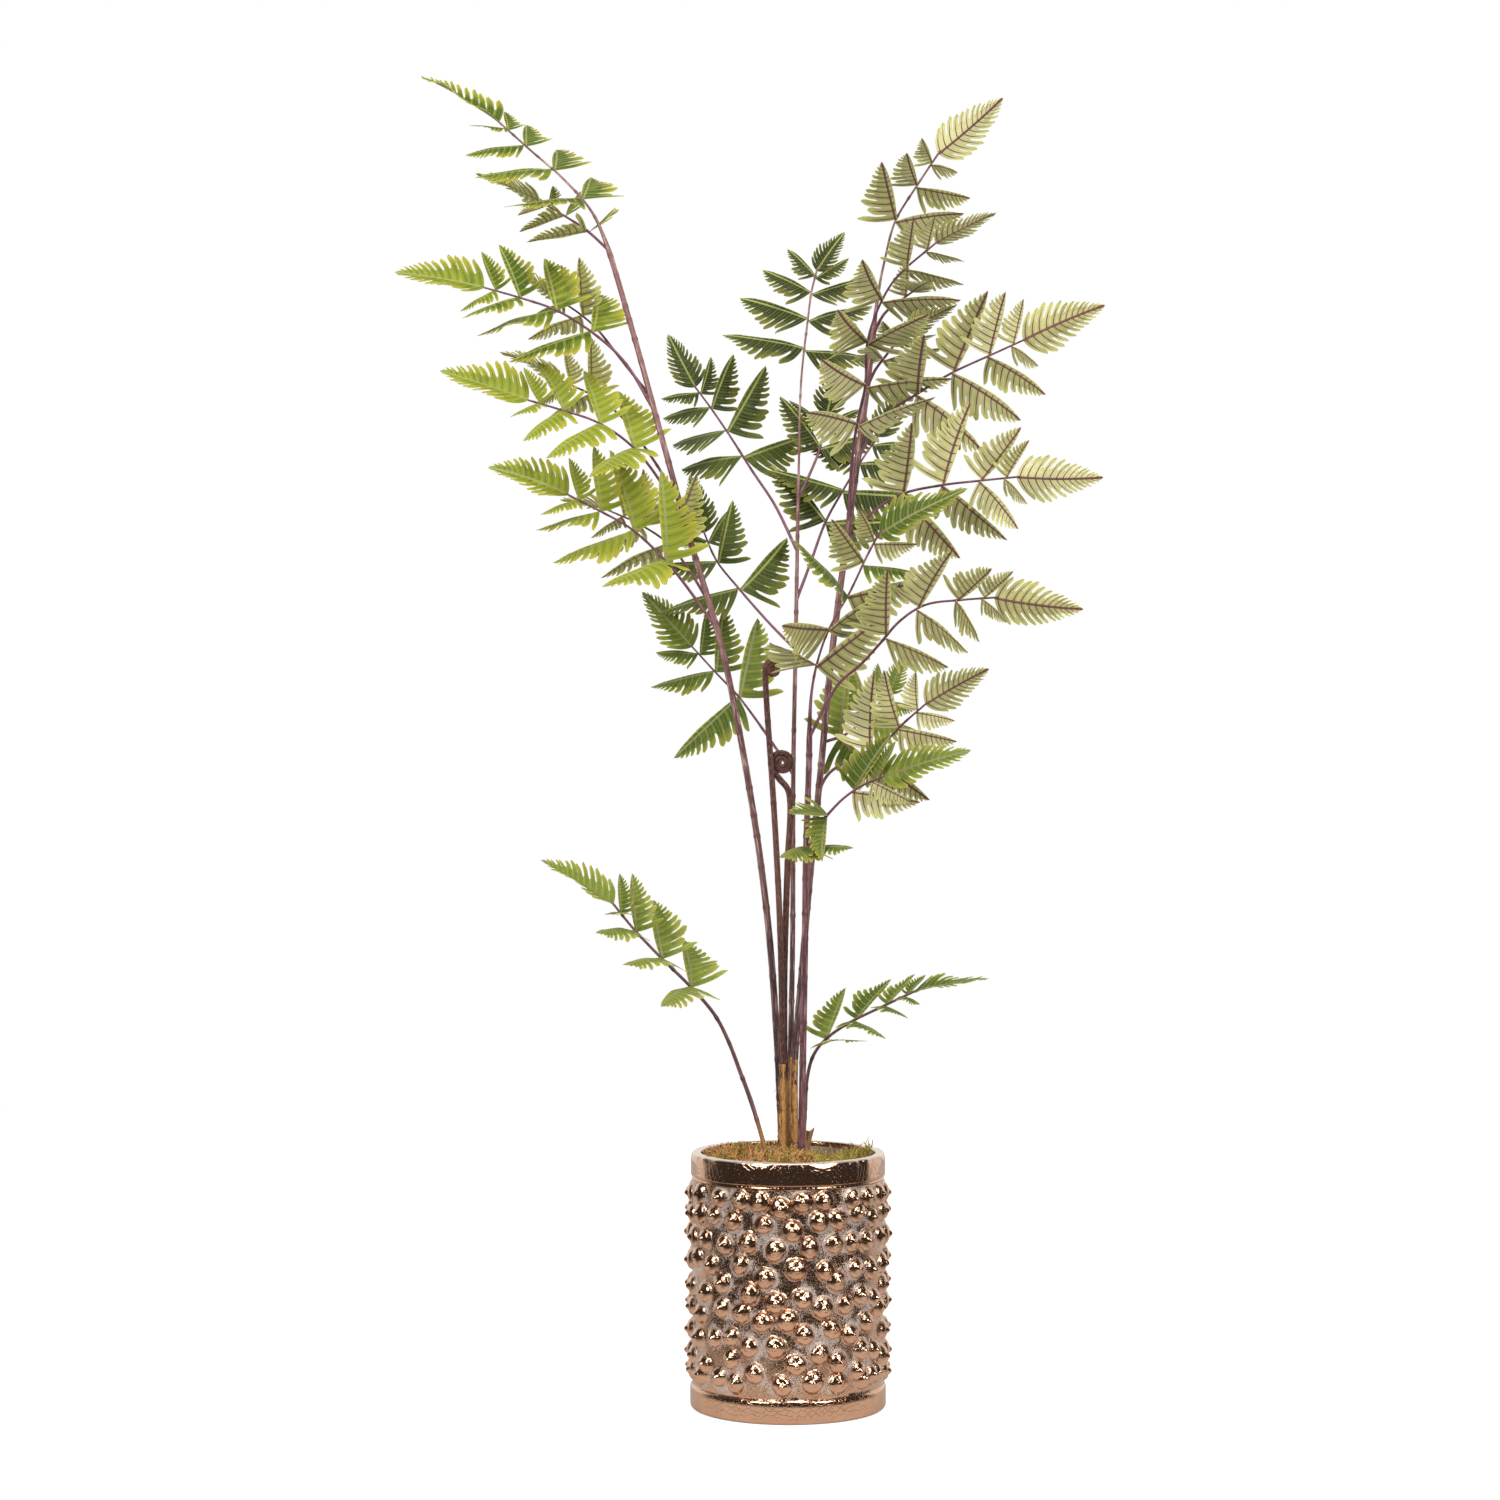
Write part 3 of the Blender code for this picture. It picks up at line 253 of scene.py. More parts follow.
frondLayout = {
    "frond_left": {
        "foot": (-0.007, 0.032),
        "wrapped": True,
        "radii": (0.0042, 0.0014),
        "route": [
            (-0.012, 0.036, 0.412), (-0.023, 0.043, 0.554), (-0.042, 0.052, 0.694), (-0.076, 0.064, 0.870),
            (-0.114, 0.076, 1.000), (-0.150, 0.090, 1.130), (-0.183, 0.103, 1.250), (-0.218, 0.115, 1.364),
            (-0.234, 0.120, 1.396), (-0.267, 0.128, 1.434), (-0.306, 0.136, 1.469), (-0.346, 0.145, 1.506),
        ],
        "crown": leaves(
            (-0.439, 0.165, 1.563), (0.43, -0.52, 0.74), [(50, 45), (50, 15), (45, 15), (65, 35)],
            [(45, -55), (55, -60), (60, -65), (60, -65)], leftFace=faceHigh, rightFace=faceLevel,
            fold=deepFold, arch=0.30, light=-0.7),
        "branches": [
            branch([(-0.213, 0.113, 1.345), (-0.238, 0.140, 1.373), (-0.272, 0.170, 1.399),
                    (-0.300, 0.190, 1.418)],
                   leaves((-0.378, 0.220, 1.456), faceBackHigh, [(50, 20), (55, 20), (60, 30)],
                          [(50, -20), (55, -30), (60, -40)], size=0.80)),
            branch([(-0.156, 0.093, 1.152), (-0.190, 0.098, 1.209), (-0.219, 0.100, 1.238),
                    (-0.270, 0.104, 1.272), (-0.317, 0.108, 1.289), (-0.362, 0.110, 1.302)],
                   leaves((-0.465, 0.115, 1.320), faceSlant, [(50, 30), (45, 40), (40, 10), (55, 15)],
                          [(55, 15), (50, -10), (55, -40), (65, -55)], size=1.05,
                          leftFace=faceHigh, rightFace=faceFront, fold=deepFold, light=-0.2)),
            branch([(-0.160, 0.096, 1.170), (-0.198, 0.125, 1.219), (-0.228, 0.145, 1.258),
                    (-0.249, 0.155, 1.277), (-0.280, 0.170, 1.299)],
                   leaves((-0.334, 0.190, 1.334), faceBackHigh, [(50, 0), (55, 0)], [(50, 10), (55, 30)],
                          rightFace=faceBack)),
            branch([(-0.118, 0.077, 1.010), (-0.146, 0.078, 1.064), (-0.181, 0.080, 1.109),
                    (-0.222, 0.082, 1.138), (-0.268, 0.084, 1.154), (-0.308, 0.086, 1.166)],
                   leaves((-0.409, 0.090, 1.200), faceSlant, [(60, 55), (65, 45), (70, 45), (85, 55)],
                          [(50, 15), (45, -10), (50, -40), (40, -50)], leftFace=faceHigh,
                          rightFace=faceFront, fold=deepFold, light=0.6)),
            branch([(-0.128, 0.082, 1.045), (-0.162, 0.115, 1.103), (-0.199, 0.140, 1.153),
                    (-0.234, 0.155, 1.179), (-0.273, 0.175, 1.199)],
                   leaves((-0.347, 0.200, 1.236), faceBackHigh, [(50, 0), (55, 0)], [(50, 0), (55, 0)],
                          rightFace=faceBack)),
            branch([(-0.082, 0.066, 0.894), (-0.098, 0.066, 0.917), (-0.122, 0.066, 0.950),
                    (-0.141, 0.066, 0.973), (-0.181, 0.067, 1.011), (-0.219, 0.068, 1.033),
                    (-0.260, 0.070, 1.054)],
                   leaves((-0.351, 0.072, 1.085), faceSlant, [(55, 40), (40, 5), (55, 5), (75, 50)],
                          [(50, 10), (55, 10), (35, 10), (40, 10)], size=1.1,
                          leftFace=faceHigh, rightFace=faceFront, fold=deepFold, light=0.7)),
            branch([(-0.092, 0.069, 0.925), (-0.114, 0.095, 0.963), (-0.140, 0.125, 0.998),
                    (-0.175, 0.150, 1.023), (-0.210, 0.170, 1.040)],
                   leaves((-0.275, 0.220, 1.058), faceBackHigh, [(50, 0), (55, 0), (60, 0)],
                          [(50, 0), (55, 0), (60, 0)], rightFace=faceBack)),
        ],
    },
    "frond_back": {
        "foot": (0.003, 0.046),
        "wrapped": True,
        "radii": (0.0036, 0.0014),
        "route": [
            (0.003, 0.048, 0.364), (0.006, 0.054, 0.529), (0.007, 0.063, 0.730), (0.010, 0.076, 0.882),
            (0.012, 0.086, 0.993), (0.014, 0.098, 1.093), (0.017, 0.114, 1.191), (0.025, 0.126, 1.265),
            (0.030, 0.132, 1.301), (0.037, 0.140, 1.329),
        ],
        "crown": leaves(
            (0.070, 0.150, 1.373), faceFront, [(55, 0), (65, -20), (70, -20), (80, -10)],
            [(40, 10), (55, -20), (60, -25), (80, -20)], size=1.05, spacing=0.72,
            leftFace=faceSlant, rightFace=faceSlant, light=-0.8),
        "branches": [
            branch([(0.012, 0.086, 0.987), (-0.014, 0.110, 1.043), (-0.041, 0.135, 1.086),
                    (-0.068, 0.155, 1.130), (-0.091, 0.170, 1.165), (-0.112, 0.180, 1.194)],
                   leaves((-0.143, 0.195, 1.257), faceFront, [(60, 10), (55, -25), (55, -35), (55, -30)],
                          [(55, 20), (60, 20), (65, 15), (85, -30)], spacing=0.8, leftFace=faceSlant)),
            branch([(0.009, 0.075, 0.871), (-0.020, 0.095, 0.902), (-0.056, 0.120, 0.944),
                    (-0.084, 0.140, 0.980), (-0.100, 0.155, 1.017)],
                   leaves((-0.116, 0.170, 1.084), faceFront, [(50, 0), (55, 0), (60, 0)],
                          [(50, 0), (50, 25), (70, -20)], size=1.1, leftFace=faceSlant, light=0.6)),
            branch([(0.006, 0.063, 0.724), (-0.011, 0.073, 0.752), (-0.056, 0.105, 0.815),
                    (-0.085, 0.125, 0.846), (-0.115, 0.140, 0.879)],
                   leaves((-0.173, 0.160, 0.943), faceFront, [(40, 0), (55, 0), (90, 0)],
                          [(50, 10), (50, 10), (48, 0)], size=1.15, leftFace=faceSlant, light=-0.3,
                          top="middleTop")),
            branch([(0.013, 0.095, 1.051), (0.027, 0.110, 1.080), (0.040, 0.125, 1.114),
                    (0.048, 0.140, 1.156)],
                   leaves((0.062, 0.160, 1.221), faceFront, [(65, 15), (55, 15)], [(50, 0), (55, 0)],
                          size=1.1, leftFace=faceSlant, light=-0.8)),
            branch([(0.011, 0.080, 0.929), (0.028, 0.095, 0.975), (0.046, 0.110, 1.024),
                    (0.067, 0.120, 1.062), (0.087, 0.130, 1.095), (0.111, 0.135, 1.130)],
                   leaves((0.142, 0.150, 1.190), faceFront, [(50, -5), (100, -5), (100, -5), (62, -5)],
                          [(50, 0), (55, 0), (60, 0), (62, 0)], spacing=0.9, leftFace=faceSlant,
                          light=-0.8)),
        ],
    },
    "frond_right": {
        "foot": (0.008, 0.007),
        "wrapped": True,
        "radii": (0.0039, 0.0014),
        "route": [
            (0.008, 0.006, 0.392), (0.017, 0.004, 0.509), (0.025, 0.001, 0.604), (0.037, -0.006, 0.725),
            (0.050, -0.014, 0.862), (0.068, -0.023, 1.002), (0.083, -0.030, 1.114), (0.093, -0.034, 1.196),
            (0.102, -0.038, 1.271), (0.109, -0.040, 1.308), (0.121, -0.046, 1.353), (0.145, -0.055, 1.392),
            (0.171, -0.065, 1.430),
        ],
        "crown": leaves(
            (0.240, -0.090, 1.485), faceBack, [(65, 50), (65, 60), (50, 50)], [(70, 40), (65, 15), (60, 25)],
            size=0.95, rightFace=faceBackSlant),
        "branches": [
            branch([(0.068, -0.024, 1.010), (0.070, -0.040, 1.049), (0.073, -0.060, 1.093),
                    (0.078, -0.070, 1.126), (0.086, -0.080, 1.163), (0.088, -0.086, 1.210),
                    (0.099, -0.090, 1.246), (0.119, -0.094, 1.281), (0.167, -0.100, 1.323)],
                   leaves((0.230, -0.120, 1.351), faceBackHigh,
                          [(50, 50), (55, 55), (70, 60), (70, 60), (70, 50), (80, 45)],
                          [(50, 15), (55, 15), (60, 15), (60, 45), (70, 0), (55, -5)],
                          leftFace=faceBack, rightFace=faceBackHigh)),
            branch([(0.096, -0.036, 1.225), (0.108, -0.055, 1.247), (0.124, -0.070, 1.259),
                    (0.141, -0.090, 1.269)],
                   leaves((0.154, -0.150, 1.270), faceBackSlant, [(50, 0)], [(50, 0)])),
            branch([(0.090, -0.033, 1.165), (0.098, -0.045, 1.184), (0.109, -0.060, 1.198),
                    (0.122, -0.075, 1.213), (0.132, -0.085, 1.221)],
                   leaves((0.187, -0.110, 1.250), faceBackHigh, [(60, 45), (55, 65)],
                          [(40, -40), (45, -40)])),
            branch([(0.079, -0.030, 1.085), (0.104, -0.045, 1.128), (0.148, -0.070, 1.157),
                    (0.184, -0.090, 1.177), (0.225, -0.110, 1.194), (0.263, -0.125, 1.210)],
                   leaves((0.348, -0.150, 1.244), faceBack, [(55, -5), (50, 15), (40, 0), (50, 50)],
                          [(55, 35), (55, -15), (55, 5), (62, 10)], size=1.1, rightFace=faceBackSlant)),
            branch([(0.067, -0.023, 0.985), (0.093, -0.040, 1.021), (0.126, -0.060, 1.042),
                    (0.173, -0.085, 1.051), (0.212, -0.105, 1.054), (0.256, -0.125, 1.057)],
                   leaves((0.346, -0.150, 1.054), faceBack, [(55, -5), (50, -10), (65, -5), (55, 30)],
                          [(45, 25), (50, 0), (50, -25), (62, 0)], size=1.05, rightFace=faceBackSlant)),
            branch([(0.036, -0.005, 0.707), (0.047, -0.020, 0.727), (0.070, -0.035, 0.742),
                    (0.107, -0.055, 0.761), (0.129, -0.070, 0.783), (0.156, -0.085, 0.807)],
                   leaves((0.223, -0.110, 0.844), faceBack, [(50, 0), (55, 0), (60, 0)],
                          [(50, 0), (55, 0), (60, 0)])),
            branch([(0.041, -0.009, 0.762), (0.066, 0.010, 0.771), (0.086, 0.025, 0.786),
                    (0.105, 0.040, 0.806), (0.121, 0.050, 0.821)],
                   leaves((0.138, 0.070, 0.865), faceFront, [(50, 0), (55, 0), (60, 0)],
                          [(50, 0), (55, 0), (60, 0)])),
        ],
    },
    "frond_front": {
        "foot": (0.015, -0.016),
        "wrapped": False,
        "radii": (0.0041, 0.0014),
        "route": [
            (0.017, -0.022, 0.417), (0.019, -0.030, 0.530), (0.020, -0.040, 0.635), (0.023, -0.052, 0.731),
            (0.025, -0.064, 0.809), (0.030, -0.070, 0.843), (0.040, -0.078, 0.877), (0.050, -0.084, 0.899),
            (0.067, -0.094, 0.928), (0.088, -0.106, 0.972), (0.102, -0.113, 0.998),
        ],
        "crown": leaves(
            (0.197, -0.135, 1.043), faceSlant, [(55, 30), (60, 30), (65, 20), (90, 56), (70, 52)],
            [(60, 0), (70, 0), (45, 0), (28, 0), (38, 0)], size=1.05, spacing=0.9,
            leftFace=[faceBack, faceBack, faceHigh, faceBack, faceBackHigh],
            rightFace=[faceBack, faceHigh, faceBack, faceBackHigh, faceBack], light=-0.7),
        "branches": [
            branch([(0.024, -0.058, 0.767), (0.042, -0.085, 0.805), (0.057, -0.100, 0.829),
                    (0.080, -0.115, 0.849), (0.101, -0.130, 0.872), (0.122, -0.145, 0.896),
                    (0.149, -0.155, 0.913), (0.189, -0.1695, 0.918), (0.227, -0.1843, 0.920)],
                   leaves((0.318, -0.209, 0.906), faceBack, [(40, -5), (40, 40), (35, 35), (35, 25)],
                          [(40, 20), (55, 30), (60, 25), (62, 25)], size=0.95, rightFace=faceBackSlant,
                          light=-0.5)),
            branch([(0.020, -0.039, 0.622), (0.031, -0.055, 0.665), (0.043, -0.062, 0.679),
                    (0.062, -0.072, 0.699), (0.082, -0.080, 0.713), (0.108, -0.090, 0.724)],
                   leaves((0.202, -0.120, 0.753), faceSlant,
                          [(40, 10), (25, 10), (90, 60, 0.7), (80, 65, 0.7)],
                          [(50, -15), (45, -15), (110, 60, 0.6), (60, 50, 0.7)], size=1.1, spacing=0.9,
                          rightFace=[faceBack, faceBack, faceHigh, faceHigh])),
        ],
    },
    "frond_low_left": {
        "foot": (-0.026, -0.005),
        "wrapped": False,
        "radii": (0.0030, 0.0014),
        "route": [
            (-0.041, -0.012, 0.346), (-0.055, -0.018, 0.385), (-0.069, -0.023, 0.422),
                  (-0.084, -0.028, 0.451),
            (-0.108, -0.033, 0.480), (-0.146, -0.038, 0.518), (-0.176, -0.042, 0.550),
                  (-0.201, -0.046, 0.581),
        ],
        "crown": leaves(
            (-0.280, -0.060, 0.629), (0.42, -0.50, 0.76), [(70, 78), (58, 65), (65, 74), (75, 74)],
            [(36, -8), (40, -24), (53, -56), (64, -70)], size=0.98, spacing=0.93,
            leftFace=faceHigh, rightFace=faceFront, fold=deepFold, light=0.5),
        "branches": [],
    },
    "frond_low_right": {
        "foot": (0.018, 0.003),
        "wrapped": False,
        "radii": (0.0025, 0.0014),
        "route": [
            (0.020, 0.000, 0.339), (0.022, -0.004, 0.376), (0.029, -0.010, 0.403), (0.042, -0.016, 0.421),
            (0.066, -0.028, 0.440), (0.109, -0.045, 0.463), (0.146, -0.060, 0.482),
        ],
        "crown": leaves(
            (0.224, -0.090, 0.497), faceLevel, [(45, -60), (45, -60), (45, -60), (50, -60)],
            [(50, 65), (50, 65), (50, 60), (40, 55)], size=0.72, spacing=0.9, light=-0.4),
        "branches": [],
    },
}

# Young fronds: a stem, then a coil. Angles are seen from the front and run clockwise.
fiddleheadLayout = {
    "fiddlehead_tall": {
        "foot": (-0.006, 0.000),
        "route": [(-0.006, 0.002, 0.392), (-0.009, 0.008, 0.545), (-0.014, 0.014, 0.651),
                  (-0.019, 0.018, 0.730), (-0.024, 0.021, 0.800), (-0.026, 0.022, 0.835)],
        "radii": (0.0036, 0.0034),
        "centre": (-0.018, 0.022, 0.8475), "coil": 0.0100, "turned": 35.0,
    },
    "fiddlehead_short": {
        "foot": (-0.003, 0.017),
        "route": [(-0.004, 0.020, 0.485), (-0.002, 0.022, 0.567), (0.000, 0.023, 0.626),
                  (0.003, 0.024, 0.690), (0.000, 0.024, 0.708), (-0.009, 0.024, 0.719),
                  (-0.0175, 0.024, 0.730)],
        "radii": (0.0038, 0.0036),
        "centre": (-0.0067, 0.024, 0.7383), "coil": 0.0132, "turned": 0.0,
    },
}


# Routes. A smooth curve goes through all the given points, with its knots spaced by the square
# root of their distances, so that it doesn't swing out at tight bends.
def slope(points, knots, index):
    before = (points[index] - points[index - 1]) / (knots[index] - knots[index - 1])
    across = (points[index + 1] - points[index - 1]) / (knots[index + 1] - knots[index - 1])
    after = (points[index + 1] - points[index]) / (knots[index + 1] - knots[index])
    return before - across + after


def smoothRoute(points, step):
    given = [Vector(point) for point in points]
    ends = [given[0] * 2 - given[1]] + given + [given[-1] * 2 - given[-2]]
    knots = [0.0]
    for before, after in zip(ends, ends[1:]):
        knots.append(knots[-1] + math.sqrt((after - before).length))
    route = []
    for index in range(1, len(ends) - 2):
        start, finish = ends[index], ends[index + 1]
        span = knots[index + 1] - knots[index]
        leave = slope(ends, knots, index) * span
        arrive = slope(ends, knots, index + 1) * span
        pieces = max(1, round((finish - start).length / step))
        for piece in range(pieces):
            t = piece / pieces
            route.append(start * (2 * t**3 - 3 * t**2 + 1) + leave * (t**3 - 2 * t**2 + t)
                         + finish * (3 * t**2 - 2 * t**3) + arrive * (t**3 - t**2))
    route.append(given[-1])
    return route


def pointBeforeEnd(route, distance):
    passed = 0.0
    for after, before in zip(reversed(route), reversed(route[:-1])):
        piece = (after - before).length
        if passed + piece >= distance:
            return after.lerp(before, (distance - passed) / piece), (after - before).normalized()
        passed += piece
    return route[0].copy(), (route[1] - route[0]).normalized()


def nearestOn(route, point):
    best = None
    for start, finish in zip(route, route[1:]):
        span = finish - start
        share = min(max((point - start).dot(span) / span.length_squared, 0.0), 1.0)
        spot = start + span * share
        if best is None or (spot - point).length < (best - point).length:
            best = spot
    return best


def perpendicular(vector, axis):
    return (vector - axis * vector.dot(axis)).normalized()


def rodAlong(route, radii, name, roundness):
    # a curve with a round section and a radius at each point, made a closed mesh
    curve = bpy.data.curves.new(name, "CURVE")
    curve.dimensions = "3D"
    curve.bevel_depth = 1.0
    curve.bevel_resolution = roundness
    curve.use_fill_caps = True
    line = curve.splines.new("POLY")
    line.points.add(len(route) - 1)
    for point, place, radius in zip(line.points, route, radii):
        point.co = (*place, 1.0)
        point.radius = radius
    rod = addObject(name, curve)
    selectOnly([rod])
    bpy.ops.object.convert(target="MESH")
    rod = bpy.context.view_layer.objects.active
    bpy.ops.object.mode_set(mode="EDIT")
    bpy.ops.mesh.select_all(action="SELECT")
    bpy.ops.mesh.remove_doubles(threshold=0.000001)
    bpy.ops.mesh.normals_make_consistent(inside=False)
    bpy.ops.object.mode_set(mode="OBJECT")
    bpy.ops.object.shade_smooth()
    return rod


# Leaves
# A half blade is a row of lobes. For each lobe: where its vein leaves the midrib, and where its
# tip is, along and across, all as shares of the leaf's length. split is how far out from the
# midrib two neighbours stay joined.
sideBlade = {
    "veins": [0.045, 0.165, 0.275, 0.380, 0.475, 0.562, 0.642, 0.716, 0.785, 0.852, 0.915],
    "tips": [(0.165, 0.450), (0.290, 0.350), (0.402, 0.368), (0.500, 0.330), (0.592, 0.284), (0.675, 0.238),
             (0.750, 0.194), (0.815, 0.152), (0.870, 0.112), (0.920, 0.076), (0.960, 0.040)],
    "splits": [0.24, 0.42, 0.50, 0.53, 0.55, 0.58, 0.62, 0.67, 0.73, 0.82],
    "narrow": [0.030, 0.044, 0.054, 0.060, 0.062, 0.062, 0.058, 0.052, 0.044, 0.034, 0.020],
    "start": 0.012, "slant": 0.02,
}
endBlade = {
    "veins": [0.050, 0.136, 0.222, 0.306, 0.387, 0.464, 0.538, 0.608, 0.674, 0.736, 0.795, 0.851, 0.906],
    "tips": [(0.195, 0.258), (0.300, 0.272), (0.392, 0.258), (0.475, 0.236), (0.552, 0.211), (0.623, 0.186),
             (0.690, 0.161), (0.751, 0.136), (0.806, 0.112), (0.855, 0.090), (0.898, 0.068), (0.937, 0.047),
             (0.968, 0.027)],
    "splits": [0.40, 0.45, 0.48, 0.50, 0.52, 0.54, 0.56, 0.59, 0.63, 0.68, 0.75, 0.84],
    "start": 0.012,
}
lobeShape = {
    "columns": 2, "joinedRows": 3,
    # past the slit's foot: how far out a row is, and the lobe's half width there, of the room it has
    "outerRows": [(0.12, 0.90), (0.34, 0.90), (0.58, 0.98), (0.76, 0.92), (0.90, 0.56), (1.0, 0.0)],
    "bend": 1.60,          # how much a lobe curves forward to its tip
    "bulge": 0.0075,       # the blade rises between vein and edge
    "edgeDrop": 0.010,     # and its edges turn down
    "tipDrop": 0.016,
    "plainDrop": 0.010,    # the same for a half without lobes
    "thickness": 0.0042,
    # how far one lobe differs from the next: fullness, tilt, its tip's place and reach, its slit
    "plump": (0.92, 1.04), "tilt": 0.016, "tipShift": 0.014, "reach": (-0.09, 0.07), "slit": 0.07,
    # past this share of them the lobes are small, and shift and rise less
    "smallFrom": 0.7, "smallShift": 0.4, "smallRise": 0.5,
}
ribPlan = {"foot": 0.0075, "tip": 0.0016, "length": 0.985, "middle": 0.4775, "height": -0.0035, "cuts": 9}


def lobeAxis(vein, tip, share):
    return vein + (tip[0] - vein) * share ** lobeShape["bend"], tip[1] * share


def halfBlade(plan, tips, splits, side, name, chance):
    # one grid for each lobe, shaped in place, then joined along the midrib and below the slits;
    # a half without splits has a plain edge
    veins = plan["veins"]
    joined, outerRows = lobeShape["joinedRows"], lobeShape["outerRows"]
    rows = joined + len(outerRows)
    grids = []
    for index, (vein, tip) in enumerate(zip(veins, tips)):
        plumpness = chance.uniform(*lobeShape["plump"])
        tilt = chance.uniform(-lobeShape["tilt"], lobeShape["tilt"])
        rise = lobeShape["smallRise"] if index > len(veins) * lobeShape["smallFrom"] else 1.0
        last = index == len(veins) - 1
        deselectAll()
        bpy.ops.mesh.primitive_grid_add(x_subdivisions=lobeShape["columns"], y_subdivisions=rows, size=2.0)
        grid = bpy.context.object
        fromVein, fromRib = [], []
        for vertex in grid.data.vertices:
            s = vertex.co.x
            row = round((vertex.co.y + 1) / 2 * rows)
            neighbour = index + (1 if s > 0 else -1)
            if 0 <= neighbour < len(veins):
                split = splits[min(index, neighbour)] if splits else 1.0
            else:
                split = 0.5
            joinedShare = split if splits else 1.0
            if row <= joined:
                share = joinedShare * row / joined
            else:
                outer, fullness = outerRows[row - joined - 1]
                share = joinedShare + (1.0 - joinedShare) * outer
            middle = lobeAxis(vein, tip, share)
            if 0 <= neighbour < len(veins):
                beside = lobeAxis(veins[neighbour], tips[neighbour], share)
                shared = ((middle[0] + beside[0]) / 2, (middle[1] + beside[1]) / 2)
                room = abs(veins[neighbour] - vein) / 2
            elif s < 0:
                room = vein - plan["start"]
                shared = (middle[0] - room, middle[1])
            else:
                room = 1.0 - vein
                shared = (1.0 + (tip[0] - 1.0) * share, tip[1] * share)
            if row <= joined or not splits or (last and s > 0):
                edge = shared
            else:
                edge = (middle[0] + math.copysign(room * fullness * plumpness, s), middle[1])
            if row > joined and splits and index == 0 and s < 0:
                edge = (middle[0] - room * (1.0 - outer ** 2), middle[1])
            u = middle[0] + (edge[0] - middle[0]) * abs(s)
            v = middle[1] + (edge[1] - middle[1]) * abs(s)
            lift = lobeShape["bulge"] * 4 * abs(s) * (1 - abs(s)) * min(1.0, 5 * share) * (1 - share ** 4)
            if splits:
                lift -= lobeShape["edgeDrop"] * s * s * share * (1.0 - share * 0.3)
                lift -= lobeShape["tipDrop"] * share ** 3
                lift += tilt * share ** 2
            else:
                lift -= lobeShape["plainDrop"] * share
            vertex.co = (u, v * side, lift * rise)
            fromVein.append(abs(s))
            fromRib.append(share)
        markFloat(grid.data, "veinSide", fromVein)
        markFloat(grid.data, "lobeWay", fromRib)
        grids.append(grid)
    return joinAll(grids, name)


def bladeHalves(plan, bothCut, name, chance):
    # an end leaf is cut on both sides; a side leaf's other half is a narrow plain strip
    shift, slit = lobeShape["tipShift"], lobeShape["slit"]
    halves = []
    for side in (1, -1):
        if side == -1 and not bothCut:
            tips = [(vein + plan["slant"], reach) for vein, reach in zip(plan["veins"], plan["narrow"])]
            halves.append(halfBlade(plan, tips, None, side, name, chance))
            continue
        tips = []
        for index, (u, v) in enumerate(plan["tips"]):
            loose = lobeShape["smallShift"] if index > len(plan["tips"]) * lobeShape["smallFrom"] else 1.0
            u += chance.uniform(-shift, shift) * loose
            v *= 1 + chance.uniform(*lobeShape["reach"]) * loose
            tips.append((u, v))
        splits = [split + chance.uniform(-slit, slit) for split in plan["splits"]]
        halves.append(halfBlade(plan, tips, splits, side, name, chance))
    return joinAll(halves, name)


def newShapeMap(mesh):
    # the leaf's one UV map, for its own flat shape
    while mesh.uv_layers:
        mesh.uv_layers.remove(mesh.uv_layers[0])
    return mesh.uv_layers.new(name="leafShape")


def makeRib():
    # the raised midrib, cut across so that it bends with the leaf
    deselectAll()
    bpy.ops.mesh.primitive_cone_add(vertices=6, radius1=ribPlan["foot"], radius2=ribPlan["tip"],
                                    depth=ribPlan["length"], end_fill_type="NGON",
                                    location=(ribPlan["middle"], 0.0, ribPlan["height"]),
                                    rotation=(0.0, math.pi / 2, 0.0))
    rib = bpy.context.object
    bpy.ops.object.transform_apply(location=True, rotation=True, scale=True)
    bpy.ops.object.mode_set(mode="EDIT")
    bpy.ops.mesh.select_all(action="DESELECT")
    bpy.ops.object.mode_set(mode="OBJECT")
    for edge in rib.data.edges:
        first, second = (rib.data.vertices[place].co for place in edge.vertices)
        edge.select = abs(first.x - second.x) > ribPlan["length"] / 2
    bpy.ops.object.mode_set(mode="EDIT")
    bpy.ops.mesh.subdivide(number_cuts=ribPlan["cuts"])
    bpy.ops.object.mode_set(mode="OBJECT")
    bpy.ops.object.shade_smooth_by_angle(angle=math.radians(70))
    newShapeMap(rib.data)
    return rib


def makeBlade(plan, bothCut, seed, name):
    # a flat leaf along x, one unit long, that is bent and scaled only when it is placed
    blade = bladeHalves(plan, bothCut, name, random.Random(seed))
    bpy.ops.object.mode_set(mode="EDIT")
    bpy.ops.mesh.select_all(action="SELECT")
    bpy.ops.mesh.remove_doubles(threshold=0.0008)
    bpy.ops.object.mode_set(mode="OBJECT")
    for polygon in blade.data.polygons:
        if polygon.normal.z < 0:
            polygon.flip()
    blade.data.update()
    flat = newShapeMap(blade.data)
    for loop in blade.data.loops:
        spot = blade.data.vertices[loop.vertex_index].co
        flat.data[loop.index].uv = (spot.x, spot.y + 0.5)
    selectOnly([blade])
    thick = blade.modifiers.new("thickness", "SOLIDIFY")
    thick.thickness = lobeShape["thickness"]
    thick.offset = -1.0
    thick.material_offset = 1
    thick.material_offset_rim = 1
    for part in ("top", "under", "rib"):
        blade.data.materials.append(bpy.data.materials.new(name + part))
    bpy.ops.object.modifier_apply(modifier=thick.name)
    bpy.ops.object.shade_smooth_by_angle(angle=math.radians(50))
    rib = makeRib()
    for part in blade.data.materials:
        rib.data.materials.append(part)
    for polygon in rib.data.polygons:
        polygon.material_index = 2
    made = joinAll([blade, rib], name)
    made.hide_render = True
    made.hide_set(True)
    return made


